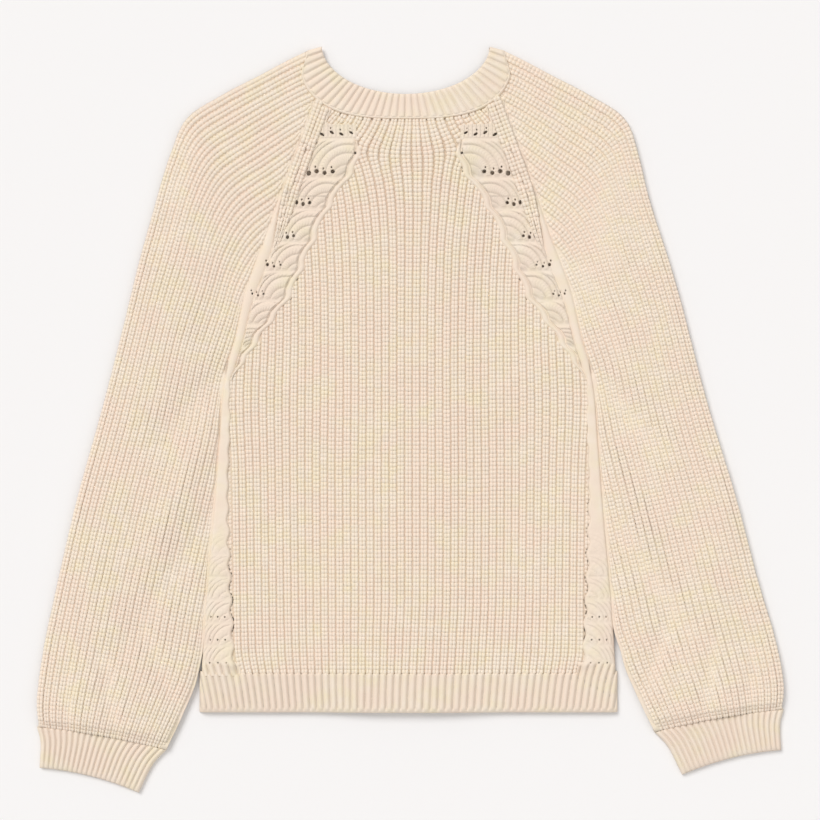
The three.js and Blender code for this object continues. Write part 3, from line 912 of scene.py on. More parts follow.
@lru_cache(None)
def shell_at(y):
    """The shell at a height: its row, the row above it, and the half axes of the grooves between
    its ropes, from the widest in."""
    above = None
    for row in ALL_ROWS:
        if y >= row.y - SHELL_DROP:
            break
        above = row
    else:
        return None, above, ()
    if above is None:
        return row, None, ()
    count = max(row.holes, 3)
    wides = [mix(row.outer, row.inner, k / (count - 1)) - lace_edge(row.y) for k in range(count)]
    while wides[-1] > 0.012:
        wides.append(wides[-1] - ROPE_WIDE)
    axes = []
    for wide in wides:
        tall = wide * mix(0.6, 1.06, clamp((wide - 0.006) / 0.014))
        axes.append((wide, min(tall, above.y - row.y)))
    return row, above, axes


def rope(share):
    """Profile of a rope: 0 in the grooves at 0 and 1."""
    return max(0.0, math.sin(math.pi * clamp(share))) ** 0.32


def rope_number(axes, dx, dy):
    """Which of a shell's ropes a place is on, with its share of the way across it. Outside the
    widest groove the ropes are finer, and count down from 0."""
    outside = None
    for k, (wide, tall) in enumerate(axes):
        off = (math.hypot(dx / wide, dy / tall) - 1) * min(wide, tall)
        if off > 0:
            return -off / FINE_ROPE_WIDE if outside is None else k - 1 + outside / (outside + off)
        outside = -off
    return len(axes) - 1 + outside / (outside + math.hypot(dx, dy) + 1e-9)


def crease_at(x, y):
    """How far a place is in the groove along the lace's inner edge, from 0 to 1: how strongly painted
    shade darkens it there.
    """
    return clamp(1 - abs(x - lace_edge(y)) / 0.0013) * (1 - smooth(y, 0.238, 0.243))


def side_relief(x, y):
    """The shells down the side, and the ribs below them that run on into the hem."""
    edge, seam = lace_edge(y), seam_x(y)
    row, _, axes = shell_at(y)
    ribs = ribs_at(x, y)
    ribbed = RIB_HIGH * ridge(ribs) - 0.0001
    if row is None:
        return ribbed, (ribs, 0.5, 1)
    dx, dy = x - lace_edge(row.y), y - row.y + SHELL_DROP
    across = clamp((x - edge) / (seam - edge))
    full = math.sin(math.pi * mix(0.35, 0.78, across)) ** 0.5
    pillow = PILLOW_HIGH * rounded(x - edge, 0.0020) * full
    pillow *= 0.88 + 0.12 * math.sin(math.pi * clamp(dy / SIDE_ROW)) ** 0.5
    low = smooth(-y, 0.07, 0.15)
    number = rope_number(axes, dx, dy)
    inside = smooth(dy, 0, 0.003) * smooth(SIDE_ROW - dy, 0, 0.003)
    inside *= smooth(x - edge, 0.001, 0.004)
    inside *= smooth(y - LOWEST_ROW, 0.0008, 0.0038)
    pillow -= SIDE_ROPE_DEEP * low * inside * (1 - rope(number % 1))
    shows = smooth(LOWEST_ROW + 0.0008 - y, 0, 0.0040)
    if shows > 0:
        return mix(pillow, ribbed, shows), (ribs, 0.5, shows)
    # Painted shade: a dark line along the lace's inner edge.
    crease = crease_at(x, y)
    if crease > 0:
        return pillow, (0, 0.5, crease)
    return pillow, (number, math.atan2(dy, dx) * 3, 0.62 * low * inside)


def raglan_relief(x, y):
    """The plain knit at the top, then the shells, their cord and the smooth band at the seam."""
    edge, cord, seam = lace_edge(y), cord_width(y), seam_x(y)
    row, above, axes = shell_at(y)
    crease = crease_at(x, y)
    if above is None:
        shows = smooth(y - FIRST_ROW + SHELL_DROP, 0.0005, 0.0020)
        return PLAIN_HIGH, (x / STITCH_RELIEF, y / STITCH_RELIEF, 0.8 * shows)
    if x < edge:
        return CORD_HIGH * rope((edge - x) / max(cord, 0.001)), (0, 0.5, crease)
    band = seam_band(y)
    if band > 0.0003 and x > seam - band:
        across = clamp((x - seam + band) / band)
        return BAND_HIGH * math.sin(math.pi * mix(0.02, 0.80, across)) ** 0.5, (0, 0.5, 0)
    # Painted shade: a dark line along the lace's inner edge, on flat ground.
    if crease > 0:
        return GROUND_HIGH, (0, 0.5, crease)
    dx, dy = x - lace_edge(row.y), y - row.y + SHELL_DROP
    number = rope_number(axes, dx, dy)
    to_next = above.y - SHELL_DROP - y
    inside = smooth(dy, 0, 0.0035) * smooth(to_next, 0, 0.0035)
    relief = GROUND_HIGH + mix(0.0011, ROPE_HIGH * rope(number % 1), inside)
    inside *= smooth(x - edge, 0.001, 0.003) * smooth(seam - band - x, 0, 0.0015)
    relief *= smooth(x - edge, 0, 0.002) * smooth(seam - band - x, -0.0002, 0.0010)
    return relief, (number, math.atan2(dy, dx) * (9 if y > 0.2 else 6), 0.9 * inside)


def shell_relief(x, y):
    """Relief of the lace over the plain cloth, and the place there in the knitting."""
    return (side_relief if y < SIDE_TOP else raglan_relief)(x, y)


def lace_height(x, y):
    """The top of the lace's cloth. It goes on a little way under the edge of the sleeve."""
    relief, _ = shell_relief(abs(x), y)
    seam = seam_x(y)
    under = smooth(abs(x), seam, seam + 0.0016) * smooth(y, UNDERARM - 0.01, UNDERARM + 0.01)
    end = 0.00004 * (y < HEM_TOP) + 0.0011 * smooth(HEM_TOP - 0.0005 - y, 0, 0.0005)
    return back_height(x, y) + relief * (1 - under) - end


LACE = Cloth(lambda x, y: (x, y, lace_height(x, y)))
Hole = namedtuple("Hole", "x y wide tall lean")
SIDE_DOT = 0.0008  # half the width of an eyelet at the side
HOLE_ROOM = 0.005  # no eyelet reaches further up or down


def holes():
    """The eyelets of the right strip: larger ones in the row, and a dot above each."""
    made = [Hole(0.0478, 0.2385, 0.0012, 0.0010, 0.4)]  # one by itself at the lace's inner edge
    for row in LACE_ROWS:
        for i in range(row.holes):
            share = i / max(row.holes - 1, 1)
            x = mix(row.inner, row.outer, share)
            size = mix(0.85, 1.15, share) * (1 + 0.08 * math.sin(5 * i + row.y * 400))
            y = row.y + 0.0011 * math.cos(3 * i + 1)
            lean, lift = (0.6, 0.0020) if row.y == FIRST_ROW else (mix(0.5, -0.1, share), 0.0010)
            made.append(Hole(x, y, row.wide * size, row.tall * size, lean))
            dot = min(0.5 * row.tall * size + 0.0003, 0.0011)
            made.append(Hole(x + 0.0010, y + row.tall * size + dot + lift, dot * 0.8, dot, 0))
    for k in range(3):
        y = LOWEST_ROW + SIDE_ROW * k
        inner, outer = lace_edge(y), seam_x(y)
        xs = [mix(inner, outer, t) for t in (0.25, 0.5, 0.75)]
        made += [Hole(x, y, SIDE_DOT, SIDE_DOT, 0) for x in xs]
    return made


def hole_reach(hole, x, y):
    """How far a place is from an eyelet's middle, against the eyelet's rim."""
    dx, dy = x - hole.x, y - hole.y
    c, s = math.cos(hole.lean), math.sin(hole.lean)
    return math.hypot((c * dx + s * dy) / hole.wide, (c * dy - s * dx) / hole.tall)


def lace_grid():
    """The right strip's places in plan, in rows from the hem to the neckband."""
    ys = [HEM_TOP - 0.0010, HEM_TOP - 0.0005, HEM_TOP - 0.0001]
    ys += [mix(HEM_TOP + 0.0004, -0.150, t) for t in shares(96)]
    ys += [mix(-0.150, SIDE_TOP, t) for t in shares(110)[1:]]
    ys += [mix(SIDE_TOP, 0.292, t) for t in shares(300)[1:]]
    rows = []
    for y in ys:
        over = 0.0034 * smooth(y, UNDERARM, UNDERARM + 0.015)
        start, end = ribs_reach(y) - 0.0010, seam_x(y) + over
        turn = end - 0.004
        edge = max(lace_edge(y), start + 0.0005)
        xs = [mix(start, edge, t) for t in shares(7)]
        xs += [mix(edge, turn, t) for t in shares(44)[1:]]
        xs += [mix(turn, end, t) for t in shares(6)[1:]]
        rows.append([[x, y] for x in xs])
    return rows


def open_eyelets(rows):
    """Draws the places round each eyelet onto its rim, and gives the faces that are inside one."""
    ys = [row[0][1] for row in rows]
    without, rim = set(), {}
    for hole in holes():
        for i in range(bisect(ys, hole.y - HOLE_ROOM), bisect(ys, hole.y + HOLE_ROOM)):
            for j in range(len(rows[i]) - 1):
                x = (rows[i][j][0] + rows[i + 1][j + 1][0]) / 2
                if hole_reach(hole, x, (ys[i] + ys[i + 1]) / 2) < 1:
                    without.add((i, j))
                    for corner in ((i, j), (i, j + 1), (i + 1, j), (i + 1, j + 1)):
                        rim[corner] = hole
    for (i, j), hole in rim.items():
        if not without.issuperset(((i, j), (i - 1, j), (i, j - 1), (i - 1, j - 1))):
            place = rows[i][j]
            reach = max(hole_reach(hole, *place), 0.3)
            place[0] = hole.x + (place[0] - hole.x) / reach
            place[1] = hole.y + (place[1] - hole.y) / reach
    return without


def lace_sheet(sign):
    """The cloth of one strip of lace, from the neckband to the hem, with its eyelets open."""
    rows = lace_grid()
    without = open_eyelets(rows)
    knit_at = [[shell_relief(x, y)[1] for x, y in row] for row in rows]
    placed = [[tucked(sign * x, y, lace_height) for x, y in row] for row in rows]
    return sheet_mesh(f"lace_{sign}", placed, without, knit_at)


def border_wales(sign):
    """The two ribs that run down beside the raglan seam, until the smooth band replaces them."""

    def ribbed(y):
        return lace_border(y) - seam_band(y)

    wales = []
    for share in (0.25, 0.75):
        places = []
        for t in shares(60):
            y = mix(TOP_LIMIT, 0.100, t)
            x = sign * (seam_x(y) - seam_band(y) - ribbed(y) * share)
            if y < neck_y(x) and ribbed(y) > 0.0042:
                places.append((x, y))
        wales.append(wale(LACE, places, [ribbed(y) * 0.54 for _, y in places]))
    return wales


# Sleeves and cuffs.

SLEEVE_SWELL = 0.0042
SLEEVE_PUFF = 0.0016
SLEEVE_TUCK = 0.0022
SLEEVE_FOLD = 0.009
SLEEVE_FOLD_AT = 0.0040
CUFF_LONG = 0.036
CUFF_FOLD = 0.006
CUFF_FOLD_AT = 0.003
SLEEVE_ON_BACK = 0.0016
RIBS_START = 0.6  # how much of a rib there has to be for it to come in


def section(table, at):
    """The section across a sleeve or cuff at a place along it."""
    return {c: along(table, "at", c, at) for c in ("out_x", "out_y", "in_x", "in_y", "ribs")}


def limb_plan(table, bow, share, at):
    """A place on a sleeve or cuff in plan, before the right one's lift."""
    s = section(table, at)
    in_x = s["in_x"]
    if table is SLEEVE:
        beside = seam_x(s["in_y"])
        in_x = max(mix(beside, in_x, smooth(at, 9.0, 9.9)), beside)
        plump = 0.0021 + 0.0016 * smooth(at, 0.2, 1.2) * (1 - smooth(at, 3.2, 4.2))
        share = mix(plump / limb_width(SLEEVE, at), 1, share)
    x = mix(s["out_x"], in_x, share)
    y = mix(s["out_y"], s["in_y"], share) + bow * 4 * share * (1 - share)
    return x, y


def limb_place(side, x, y):
    """The same place on the left or the right arm."""
    if side == "left":
        return -x, y
    lift = 1 - smooth(y, -0.3, 0.06)
    return x + RIGHT_OUT * lift, y + RIGHT_RISE * lift


def limb_width(table, at):
    s = section(table, at)
    return math.hypot(s["out_x"] - s["in_x"], s["out_y"] - s["in_y"])


def sleeve_top(x, y, share, at):
    """Height of a sleeve's upper face, which is full over the cuff and drawn in at it."""
    arm = smooth(at, 1, FREE_FROM)
    swell = SLEEVE_SWELL * arm * math.sin(math.pi * clamp(share)) ** 0.7
    puff = SLEEVE_PUFF * smooth(at, 9.5, 11.2) * (1 - smooth(at, 11.6, 12.0))
    tuck = -SLEEVE_TUCK * smooth(at, 11.7, CUFF_SEAM)
    return BACK_LIES_AT + SLEEVE_ON_BACK + swell + puff + tuck + creased(SLEEVE_CREASES, x, y)


def sleeve_point(side, signed, at):
    """A place on a sleeve: signed is 0 at the outer fold, 1 at the inner edge, minus below."""
    share = abs(signed)
    bow = SLEEVE_BOW * smooth(at, 9, CUFF_SEAM)
    x, y = limb_plan(SLEEVE, bow, share, at)
    wide = limb_width(SLEEVE, at)
    free = smooth(at, FREE_FROM - 1, FREE_FROM)
    inner_fold = rounded((1 - share) * wide, mix(0.004, SLEEVE_FOLD, smooth(at, 8.5, 10)))
    fold = rounded(share * wide, SLEEVE_FOLD) * mix(1, inner_fold, free)
    if signed >= 0:
        z = mix(SLEEVE_FOLD_AT, sleeve_top(x, y, share, at), fold)
    else:
        edge = min(share * wide, mix(1, (1 - share) * wide, free))
        z = mix(SLEEVE_FOLD_AT, 0.0003, smooth(edge, 0.004, 0.018))
    x, y = limb_place(side, x, y)
    x += sway(y) * (1 - share)
    if side == "right":
        x -= RIGHT_FOLD_IN * (1 - share) * (1 - smooth(y, 0.19, 0.28)) * smooth(y, -0.245, -0.13)
    if at > FREE_FROM - 1:
        # Beside the back, the inner edge rests against it.
        inner_x, inner_y = limb_place(side, *limb_plan(SLEEVE, bow, 1, at))
        gap = abs(inner_x) - seam_x(inner_y) + 0.0012 * smooth(at, FREE_FROM - 1, FREE_FROM)
        x -= math.copysign(gap, x) * share**3 * (1 - smooth(at, 9.0, 9.9))
    return x, y, z


def cuff_point(side, signed, at):
    """A place on a cuff, with signed as on a sleeve and at from 0 at the sleeve to 2."""
    share = abs(signed)
    x, y = limb_plan(CUFF, mix(SLEEVE_BOW, CUFF_BOW, at / 2), share, at)
    wide = limb_width(CUFF, at)
    fold = rounded(share * wide, CUFF_FOLD) * rounded((1 - share) * wide, CUFF_FOLD)
    half = CUFF_FOLD_AT
    roll = rounded((2 - at) / 2 * CUFF_LONG, 0.0035) * rounded(at / 2 * CUFF_LONG + 0.001, 0.003)
    shows = smooth(2 - at, 0.05, 0.28)
    ribbed = 0.0040 + mix(0.0014, 0.0017 * ridge(share * CUFF_RIBS), shows)
    z = mix(half, mix(half, ribbed, roll), fold) if signed >= 0 else half * (1 - fold)
    return (*limb_place(side, x, y), z)


def round_limb():
    """Places round a flattened sleeve or cuff, closer together at its folds."""
    top = [0, 0.004, 0.014, 0.03, 0.055, 0.09, 0.14, 0.2, 0.27, 0.35, 0.43, 0.5]
    top = top + [1 - s for s in reversed(top[:-1])]
    return [-s for s in reversed(top)] + top[1:]


def sleeve_sheet(side):
    """The cloth of a sleeve, a tube laid flat."""
    ats = [CUFF_SEAM * t for t in shares(110)]
    across = round_limb()
    rows = [[sleeve_point(side, s, at) for s in across] for at in ats]
    # The raglan seam is a thin line of painted groove shade, on cloth that stays smooth across it.
    seam = [[smooth(s, 0.975, 0.996) * (at < FREE_FROM) for s in across] for at in ats]
    knit_at = [[(0, 0.5, deep) for deep in row] for row in seam]
    return sheet_mesh(f"{side}_sleeve", rows, knit_at=knit_at)


def cuff_sheet(side):
    """The cloth of a cuff, ribbed on its upper face."""
    steps = 7  # across each rib
    top = [0.003, 0.008]
    top += [k / steps / CUFF_RIBS for k in range(2, steps * CUFF_RIBS - 1)] + [0.992, 0.997, 1]
    across = [s for s in round_limb() if s <= 0] + top
    ats = [0, 0.03, 0.08, 0.15, *[mix(0.25, 1.75, t) for t in shares(7)], 1.85, 1.92, 1.97, 2]
    rows = [[cuff_point(side, s, at) for s in across] for at in ats]
    knit_at = [[(max(s, 0) * CUFF_RIBS, 0.5, 0.9 * (s > 0)) for s in across] for _ in ats]
    return sheet_mesh(f"{side}_cuff", rows, knit_at=knit_at)


def sleeve_wales(side):
    """The ribs of a sleeve; each comes in narrow at the inner edge and runs to the cuff."""
    cloth = Cloth(lambda s, at: sleeve_point(side, s, at))
    ribs = lru_cache(None)(lambda at: along(SLEEVE, "at", "ribs", at))

    wales = []
    for k in range(-1, CUFF_RIBS + 1):
        low = lambda at: (k / ribs(at), at)
        high = lambda at: (min(k + 1, max(ribs(at) - 0.3, k + 0.01)) / ribs(at), at)
        at = 0.0
        while at < CUFF_SEAM and ribs(at) < k + RIBS_START:
            at += 0.02
        if at > 11.2:
            continue
        ats = [mix(at, 11.97, t) for t in shares(110)]
        stops = [((low(a)[0] + high(a)[0]) / 2, a) for a in ats]
        wides = [wale_width(cloth, a, low, high) for a in ats]
        wales.append(limb_wale(cloth, stops, wides))
    return wales


def limb_wale(cloth, stops, wides):
    """A wale on a sleeve, sunk a little into its cloth, which faces down where u is minus."""
    made = []
    for (u, v), wide in zip(stops, wides):
        up = cloth.normal(u, v, 0.004)
        if (up.z < 0) != (u < 0):
            up = -up
        sunk = mix(0.0004, 0.0001, smooth(v, 3, 6))
        made.append(Stop(Vector(cloth.point(u, v)) - up * sunk, up, wide))
    return made


# Neckband and hems.


def band_height(x, y):
    """Height of the neckband's and the hem's cloth, before its ribs."""
    return lies(x, y) + bpy.context.scene.cardigan.wall


def neck_line(curve, depth):
    """An edge of the neckband from fold to fold, as places at even steps along it."""
    angles = [mix(NECK_FOLD, math.pi - NECK_FOLD, t) for t in shares(3000)]
    places = [neck_point(curve, depth, angle) for angle in angles]
    run, lengths = 0, [0]
    for (x0, y0), (x1, y1) in zip(places, places[1:]):
        run += math.hypot(x1 - x0, y1 - y0)
        lengths.append(run)
    even, k = [], 0
    for t in shares(400):
        while k < len(places) - 1 and lengths[k] < t * run:
            k += 1
        even.append(places[k])
    return even


NECK_LINES = {
    (curve, depth): neck_line(curve, depth)
    for curve in (NECK_IN, NECK_OUT)
    for depth in ("back", "front")
}


def neckband_place(across, share, depth="back"):
    """A place on the band in plan: across from its inner to its outer edge, share from right
    to left. The band is narrower at its folds."""
    ends = []
    for curve in (NECK_IN, NECK_OUT):
        line = NECK_LINES[curve, depth]
        at = clamp(share) * (len(line) - 1)
        k = min(int(at), len(line) - 2)
        ends.append([mix(a, b, at - k) for a, b in zip(line[k], line[k + 1])])
    across *= mix(0.60, 1, smooth(min(share, 1 - share), 0, 0.09))
    return [mix(a, b, across) for a, b in zip(*ends)]


NECK_RIBS = 36
BAND_WIDE = 0.024


def neckband_point(across, turn):
    """turn runs 0 to 1 round the back, and 1 to 2 on round the front."""
    if turn <= 1:
        x, y = neckband_place(across, turn)
        edge = rounded(across * BAND_WIDE, 0.003) * rounded((1 - across) * BAND_WIDE, 0.0012)
        over = min(turn, 1 - turn) / 0.02
        seam = math.exp(-(((1 - across) * 24 - 2.2) / 0.6) ** 2)
        ribbed = 0.0010 + 0.0014 * mix(ridge(turn * NECK_RIBS), 1, smooth(across, 0.90, 0.94))
        top = band_height(x, y) + mix(-0.0012, ribbed - 0.0002 * seam, edge)
        return x + sway(y), y, mix(0.0035, top, rounded(over, 1))
    x, y = neckband_place(across, 2 - turn, "front")
    under = min(turn - 1, 2 - turn) / 0.02
    return x + sway(y), y, mix(0.0035, 0.0004, rounded(under, 1))


def neckband_sheet():
    """The whole band; its two ends stand behind the button bands, in the middle of the front."""
    ends = 0.052
    turns = [mix(1.5 + ends, 2, t) for t in shares(40)] + [0.001, 0.002]
    steps = 8  # across each rib
    turns += [k / steps / NECK_RIBS for k in range(2, steps * NECK_RIBS - 1)] + [0.998, 0.999]
    turns += [mix(1, 1.5 - ends, t) for t in shares(40)]
    acrosses = [0, 0.01, 0.04, 0.09, 0.2, 0.4, 0.6, 0.8, 0.87, 0.895, 0.92, 0.94, 0.965, 0.985, 1]
    rows = [[neckband_point(a, turn) for a in acrosses] for turn in turns]
    knit_at = [
        [(turn * NECK_RIBS, 0.5, 0.85 * (a < 0.9 and turn < 1)) for a in acrosses] for turn in turns
    ]
    return sheet_mesh("neckband", rows, knit_at=knit_at)


HEM_FOLD = 0.006


def hem_shows(y):
    """How far the hem's ribs show: they fade into a soft roll along the bottom."""
    return smooth(y - HEM_LOW, 0.0008, 0.0050)


def hem_height(x, y):
    """The hem's ribs, which go on from the ribs of the back."""
    ribbed = mix(0.0018, RIB_HIGH * ridge(ribs_at(x, y)), hem_shows(y))
    full = band_height(x, y) + creased(BACK_CREASES, x, y) + ribbed - 0.0001
    full -= 0.00004 * (y > HEM_TOP) + 0.0014 * smooth(y, HEM_TOP + 0.0006, HEM_TOP + 0.0016)
    full = mix(full - 0.0030, full, rounded(y - HEM_LOW, 0.0035))
    return mix(EDGE_AT, full, rounded(HEM_HALF - abs(x), HEM_FOLD))


def hem_sheet():
    """The back's hem, with its edges turned down."""
    high = HEM_TOP - HEM_LOW
    heights = [0, 0.0004, 0.0012, 0.0024, 0.0036]
    heights += [mix(0.005, high - 0.0010, t) for t in shares(9)]
    heights += [high + more for more in (-0.0002, 0.0002, 0.0006, 0.0012, 0.0018, 0.0035)]
    inner = [mix(-1, 1, t) * (HEM_HALF - HEM_FOLD) for t in shares(450)]
    turn = [HEM_HALF - HEM_FOLD * (1 - t) ** 2 for t in shares(7)[1:]]
    xs = [-x for x in reversed(turn)] + inner + turn
    ys = [HEM_LOW + 0.0003 + up * 0.99 for up in heights]
    rows = [[(x, y, hem_height(x, y)) for x in xs] for y in ys]
    knit_at = [[(ribs_at(x, y), 0.5, hem_shows(y)) for x in xs] for y in ys]
    return sheet_mesh("back_hem", rows, knit_at=knit_at)


# The fronts, their hems and the button bands, which lie face down under the back.


def ribbed_sheet(name, across, along_y, edges, deep, high, turned=False):
    """Flat ribbed cloth: its ribs run up, or across where turned, and stand down from it.

    across and along_y are how many steps it has; edges gives the x of both edges at a height;
    deep is the ribs' depth, high the height of the grooves over the surface."""
    rib = bpy.context.scene.cardigan.rib
    rows, knit_at = [], []
    for y in along_y:
        x0, x1 = edges(y)
        row, places = [], []
        for t in shares(across):
            x = mix(x0, x1, t)
            u, v = (y, x) if turned else (x, y)
            row.append((x, y, high(x, y) - deep * ridge(u / rib)))
            places.append((u / rib, v / STITCH_RELIEF, 1))
        rows.append(row)
        knit_at.append(places)
    return sheet_mesh(name, rows, knit_at=knit_at)


FRONT_GAP = 0.0004  # between a front and the button bands
FRONT_GROOVE_AT = 0.0016
FRONT_RIB_DEEP = 0.0011


def front_sheet(sign):
    """One front: straight at the band, shaped along its side, its raglan and the neck."""
    rib = bpy.context.scene.cardigan.rib
    inner = BAND_HALF + FRONT_GAP

    def across(share, y):
        turn = 0.0045 * (1 - smooth(y, UNDERARM - 0.002, UNDERARM + 0.006))
        return mix(inner, seam_x(y) - 0.0006 - turn, share)

    tops = []
    for share in shares(120):
        low, high = 0.150, 0.300  # the neck's edge is between these
        for _ in range(24):
            y = (low + high) / 2
            below = y < neck_edge(across(share, y), NECK_OUT.front) - 0.0006
            low, high = (y, high) if below else (low, y)
        tops.append(low)
    rows, knit_at = [], []
    for t in shares(60):
        row, places = [], []
        for share, top in zip(shares(120), tops):
            y = mix(HEM_TOP + 0.0004, top, t)
            x = across(share, y)
            row.append((sign * x, y, FRONT_GROOVE_AT - FRONT_RIB_DEEP * ridge(x / rib)))
            places.append((sign * x / rib, y / STITCH_RELIEF, 1))
        rows.append(row)
        knit_at.append(places)
    return sheet_mesh(f"front_{sign}", rows, knit_at=knit_at)


def front_hem_sheet(sign):
    """The hem of one front."""
    ys = [mix(HEM_LOW + 0.0004, HEM_TOP - 0.0004, t) for t in shares(10)]
    edges = lambda y: (sign * (BAND_HALF + FRONT_GAP), sign * (HEM_HALF - 0.0045))
    return ribbed_sheet(f"front_hem_{sign}", 130, ys, edges, 0.0009, lambda x, y: 0.0012)


BUTTON_PLACES = [
    (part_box(f"button_{k}")[0][1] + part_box(f"button_{k}")[1][1]) / 2 for k in range(1, BUTTONS + 1)
]


def buttonhole_band_height(x, y):
    """The outer band's cloth rides up over each button."""
    over = max(1 - smooth(math.hypot(x, y - top), 0.0085, 0.0125) for top in BUTTON_PLACES)
    return 0.0013 + 0.0012 * over


# Settings, operators and panel.

LIMB_WALL = 0.75  # thickness of a sleeve's or cuff's cloth, against the back's
FRONT_WALL = 0.8
OUTER_BAND_WALL = 0.55


class CardiganSettings(bpy.types.PropertyGroup):
    rib: FloatProperty(
        name="Rib",
        description="Width of a rib of the back",
        default=0.00685,
        unit="LENGTH",
    )
    stitch: FloatProperty(
        name="Stitch",
        description="Length of a stitch",
        default=0.0037,
        unit="LENGTH",
    )
    wall: FloatProperty(
        name="Wall",
        description="Thickness of the cloth under the stitches",
        default=0.0018,
        unit="LENGTH",
    )
    wool: FloatVectorProperty(
        name="Wool",
        description="Colour of the yarn",
        default=(0.90, 0.79, 0.665),
        subtype="COLOR",
    )
    # Painted shade: the darker colour of the cloth between the stitches, for the shade in the
    # grooves.
    wool_deep: FloatVectorProperty(
        name="Wool, deep",
        description="Colour between the stitches",
        default=(0.74, 0.615, 0.485),
        subtype="COLOR",
    )
    horn: FloatVectorProperty(
        name="Horn",
        description="Colour of the buttons",
        default=(0.60, 0.46, 0.30),
        subtype="COLOR",
    )
    floor: FloatVectorProperty(
        name="Floor",
        description="Colour of the surface",
        default=(0.90, 0.885, 0.88),
        subtype="COLOR",
    )


def add_cloth(node, mesh, wall, slot, under=False):
    """The finished cloth that stands for a node of the frame; wall is against the back's."""
    wall *= bpy.context.scene.cardigan.wall
    made = finish_sheet(f"{node}_cloth", mesh, wall, wool("smooth"), under)
    dress(made, slot, node)
    return made


class CARDIGAN_OT_back(bpy.types.Operator):
    """Knits the back, with the lace along its raglans and sides"""

    bl_idname = "cardigan.back"
    bl_label = "Back"

    def execute(self, context):
        size = context.scene.cardigan
        # The cloth under the back's ribs takes the deep wool: painted shade that shows between the
        # stitches.
        ribs = finish_sheet("back_ribs", back_ribs_sheet(), size.wall, wool("deep"))
        dress(ribs, "knit", "back")
        parts = []
        for side, sign in (("left", -1), ("right", 1)):
            strip = finish_sheet(f"back_lace_{side}", lace_sheet(sign), size.wall, wool("smooth"))
            wales, borders = back_wales(sign), border_wales(sign)
            parts += [
                strip,
                knit(f"back_rib_stitches_{side}", wales, size.stitch, 3 + sign),
                knit(f"back_lace_stitches_{side}", borders, size.stitch, 13 + sign),
            ]
        for part in parts:
            dress(part, "knit")
        2 * seam_x(HEM_TOP)
        return {"FINISHED"}


class CARDIGAN_OT_sleeves(bpy.types.Operator):
    """Knits both sleeves"""

    bl_idname = "cardigan.sleeves"
    bl_label = "Sleeves"

    def execute(self, context):
        for side in ("left", "right"):
            sleeve = add_cloth(f"{side}_sleeve", sleeve_sheet(side), LIMB_WALL, "knit")
            name, seed = f"{side}_sleeve_stitches", 23 + len(side)
            stitches = knit(name, sleeve_wales(side), context.scene.cardigan.stitch, seed)
            dress(stitches, "knit")
        return {"FINISHED"}


class CARDIGAN_OT_cuffs(bpy.types.Operator):
    """Knits both cuffs"""

    bl_idname = "cardigan.cuffs"
    bl_label = "Cuffs"

    def execute(self, context):
        for side in ("left", "right"):
            cuff = add_cloth(f"{side}_cuff", cuff_sheet(side), LIMB_WALL, "rib_trim")
        return {"FINISHED"}


class CARDIGAN_OT_neckband(bpy.types.Operator):
    """Knits the neckband, round the back and down both fronts"""

    bl_idname = "cardigan.neckband"
    bl_label = "Neckband"

    def execute(self, context):
        band = add_cloth("neckband", neckband_sheet(), 1, "rib_trim")
        return {"FINISHED"}


class CARDIGAN_OT_hems(bpy.types.Operator):
    """Knits the back's hem"""

    bl_idname = "cardigan.hems"
    bl_label = "Hems"

    def execute(self, context):
        hem = add_cloth("back_hem", hem_sheet(), 1, "rib_trim")
        return {"FINISHED"}


class CARDIGAN_OT_fronts(bpy.types.Operator):
    """Knits both fronts, their hems and the two button bands, face down"""

    bl_idname = "cardigan.fronts"
    bl_label = "Fronts"

    def execute(self, context):
        for side, sign in (("left", -1), ("right", 1)):
            front = add_cloth(f"{side}_front", front_sheet(sign), FRONT_WALL, "knit", under=True)
            mesh = front_hem_sheet(sign)
            hem = add_cloth(f"{side}_front_hem", mesh, FRONT_WALL, "rib_trim", under=True)
        low, high = HEM_LOW + 0.0002, NECK_MIDDLE - NECK_IN.front - 0.0002
        ys = [mix(low, high, t) for t in shares(420)]
        mesh = ribbed_sheet(
            "outer", 12, ys, lambda y: (-BAND_HALF, BAND_HALF), 0.0008, buttonhole_band_height, True
        )
        outer = add_cloth("buttonhole_band", mesh, OUTER_BAND_WALL, "rib_trim", under=True)
        inner_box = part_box("button_band")
        edges = lambda y: (inner_box[0][0], inner_box[1][0])
        grooves = lambda x, y: inner_box[0][2] + 0.0011
        mesh = ribbed_sheet("inner", 14, ys, edges, 0.0007, grooves, True)
        inner = add_cloth("button_band", mesh, FRONT_WALL, "rib_trim", under=True)
        for k in range(1, BUTTONS + 1):
            button = bpy.data.objects[f"button_{k}"]
            button.data.materials.clear()
            button.data.materials.append(horn())
        return {"FINISHED"}


FLOOR_HALF = 6
Sun = namedtuple("Sun", "name place angle power")
SUNS = (Sun("key", (-0.62, 0.75, 1.0), 30, 1.75), Sun("fill", (0.7, -0.4, 1.0), 70, 0.5))
LENS, SENSOR = 100, 36  # millimetres
CAMERA_OVER = (0.00135, 0.0081)
CAMERA_SEES = 0.738  # how wide a square of the floor, in metres


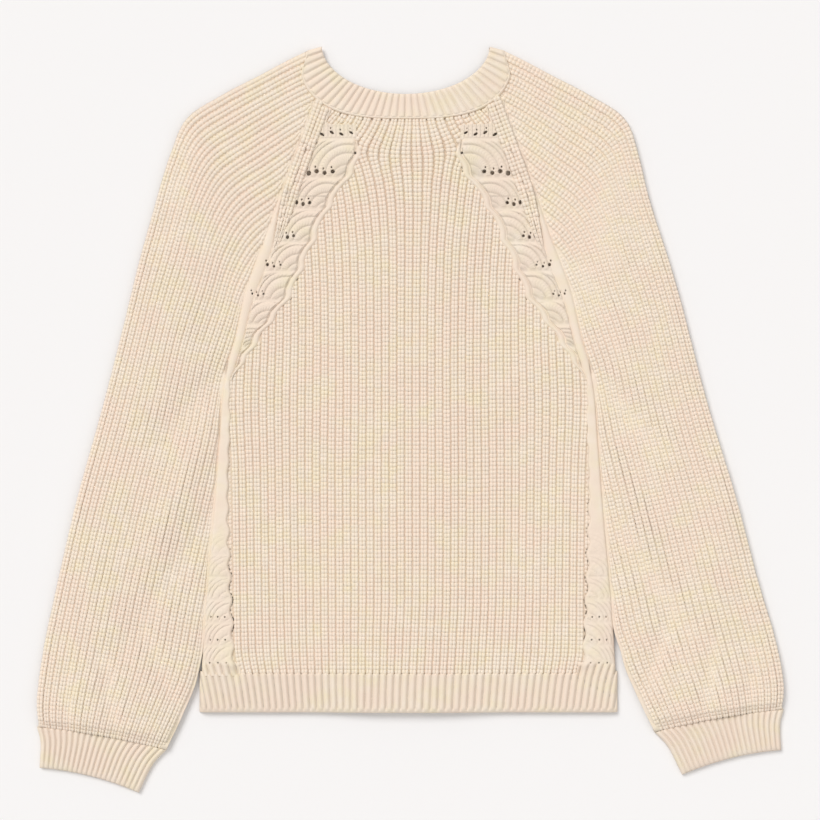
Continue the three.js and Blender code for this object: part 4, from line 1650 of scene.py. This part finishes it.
class CARDIGAN_OT_stage(bpy.types.Operator):
    """Lays the surface and sets the light and the camera"""

    bl_idname = "cardigan.stage"
    bl_label = "Stage"

    def execute(self, context):
        floor_mesh = bpy.data.meshes.new("floor")
        s = FLOOR_HALF
        corners = [(-s, -s, 0), (s, -s, 0), (s, s, 0), (-s, s, 0)]
        floor_mesh.from_pydata(corners, [], [(0, 1, 2, 3)])
        floor = new_object("floor", floor_mesh)
        made, _, shader = material("floor", {"Roughness": 0.9})
        shader.inputs["Base Color"].default_value = (*context.scene.cardigan.floor, 1)
        floor.data.materials.append(made)
        world = bpy.data.worlds.new("studio")
        world.use_nodes = True
        sky = world.node_tree.nodes["Background"]
        sky.inputs["Color"].default_value = (1, 0.99, 0.98, 1)
        sky.inputs["Strength"].default_value = 0.52
        context.scene.world = world
        for sun in SUNS:
            light = bpy.data.lights.new(sun.name, "SUN")
            light.angle = math.radians(sun.angle)
            light.energy = sun.power
            lamp = new_object(sun.name, light)
            lamp.rotation_euler = (-Vector(sun.place)).to_track_quat("-Z", "Y").to_euler()
        # Plain colours: pale cloth keeps its own cream.
        context.scene.view_settings.view_transform = "Standard"
        camera = bpy.data.cameras.new("camera")
        camera.lens = LENS
        camera.sensor_width = SENSOR
        camera.clip_start = 0.05
        lens = new_object("camera", camera)
        lens.location = (*CAMERA_OVER, CAMERA_SEES * camera.lens / camera.sensor_width)
        context.scene.camera = lens
        return {"FINISHED"}


class CARDIGAN_PT_panel(bpy.types.Panel):
    bl_label = "Knit cardigan"
    bl_idname = "CARDIGAN_PT_panel"
    bl_space_type = "VIEW_3D"
    bl_region_type = "UI"
    bl_category = "Cardigan"

    def draw(self, context):
        for key in CardiganSettings.__annotations__:
            self.layout.prop(context.scene.cardigan, key)
        for operator in OPERATORS:
            self.layout.operator(operator.bl_idname)


OPERATORS = (
    CARDIGAN_OT_back,
    CARDIGAN_OT_sleeves,
    CARDIGAN_OT_cuffs,
    CARDIGAN_OT_neckband,
    CARDIGAN_OT_hems,
    CARDIGAN_OT_fronts,
    CARDIGAN_OT_stage,
)
CLASSES = (CardiganSettings, *OPERATORS, CARDIGAN_PT_panel)


def register():
    for cls in CLASSES:
        bpy.utils.register_class(cls)
    bpy.types.Scene.cardigan = PointerProperty(type=CardiganSettings)


def unregister():
    del bpy.types.Scene.cardigan
    for cls in reversed(CLASSES):
        bpy.utils.unregister_class(cls)


def main():
    register()
    bpy.ops.cardigan.back()
    bpy.ops.cardigan.sleeves()
    bpy.ops.cardigan.cuffs()
    bpy.ops.cardigan.neckband()
    bpy.ops.cardigan.hems()
    bpy.ops.cardigan.fronts()
    bpy.ops.cardigan.stage()
    # The one stitch that the others were made from.
    bpy.data.objects.remove(bpy.data.objects["stitch_shape"])


if __name__ == "__main__":
    main()
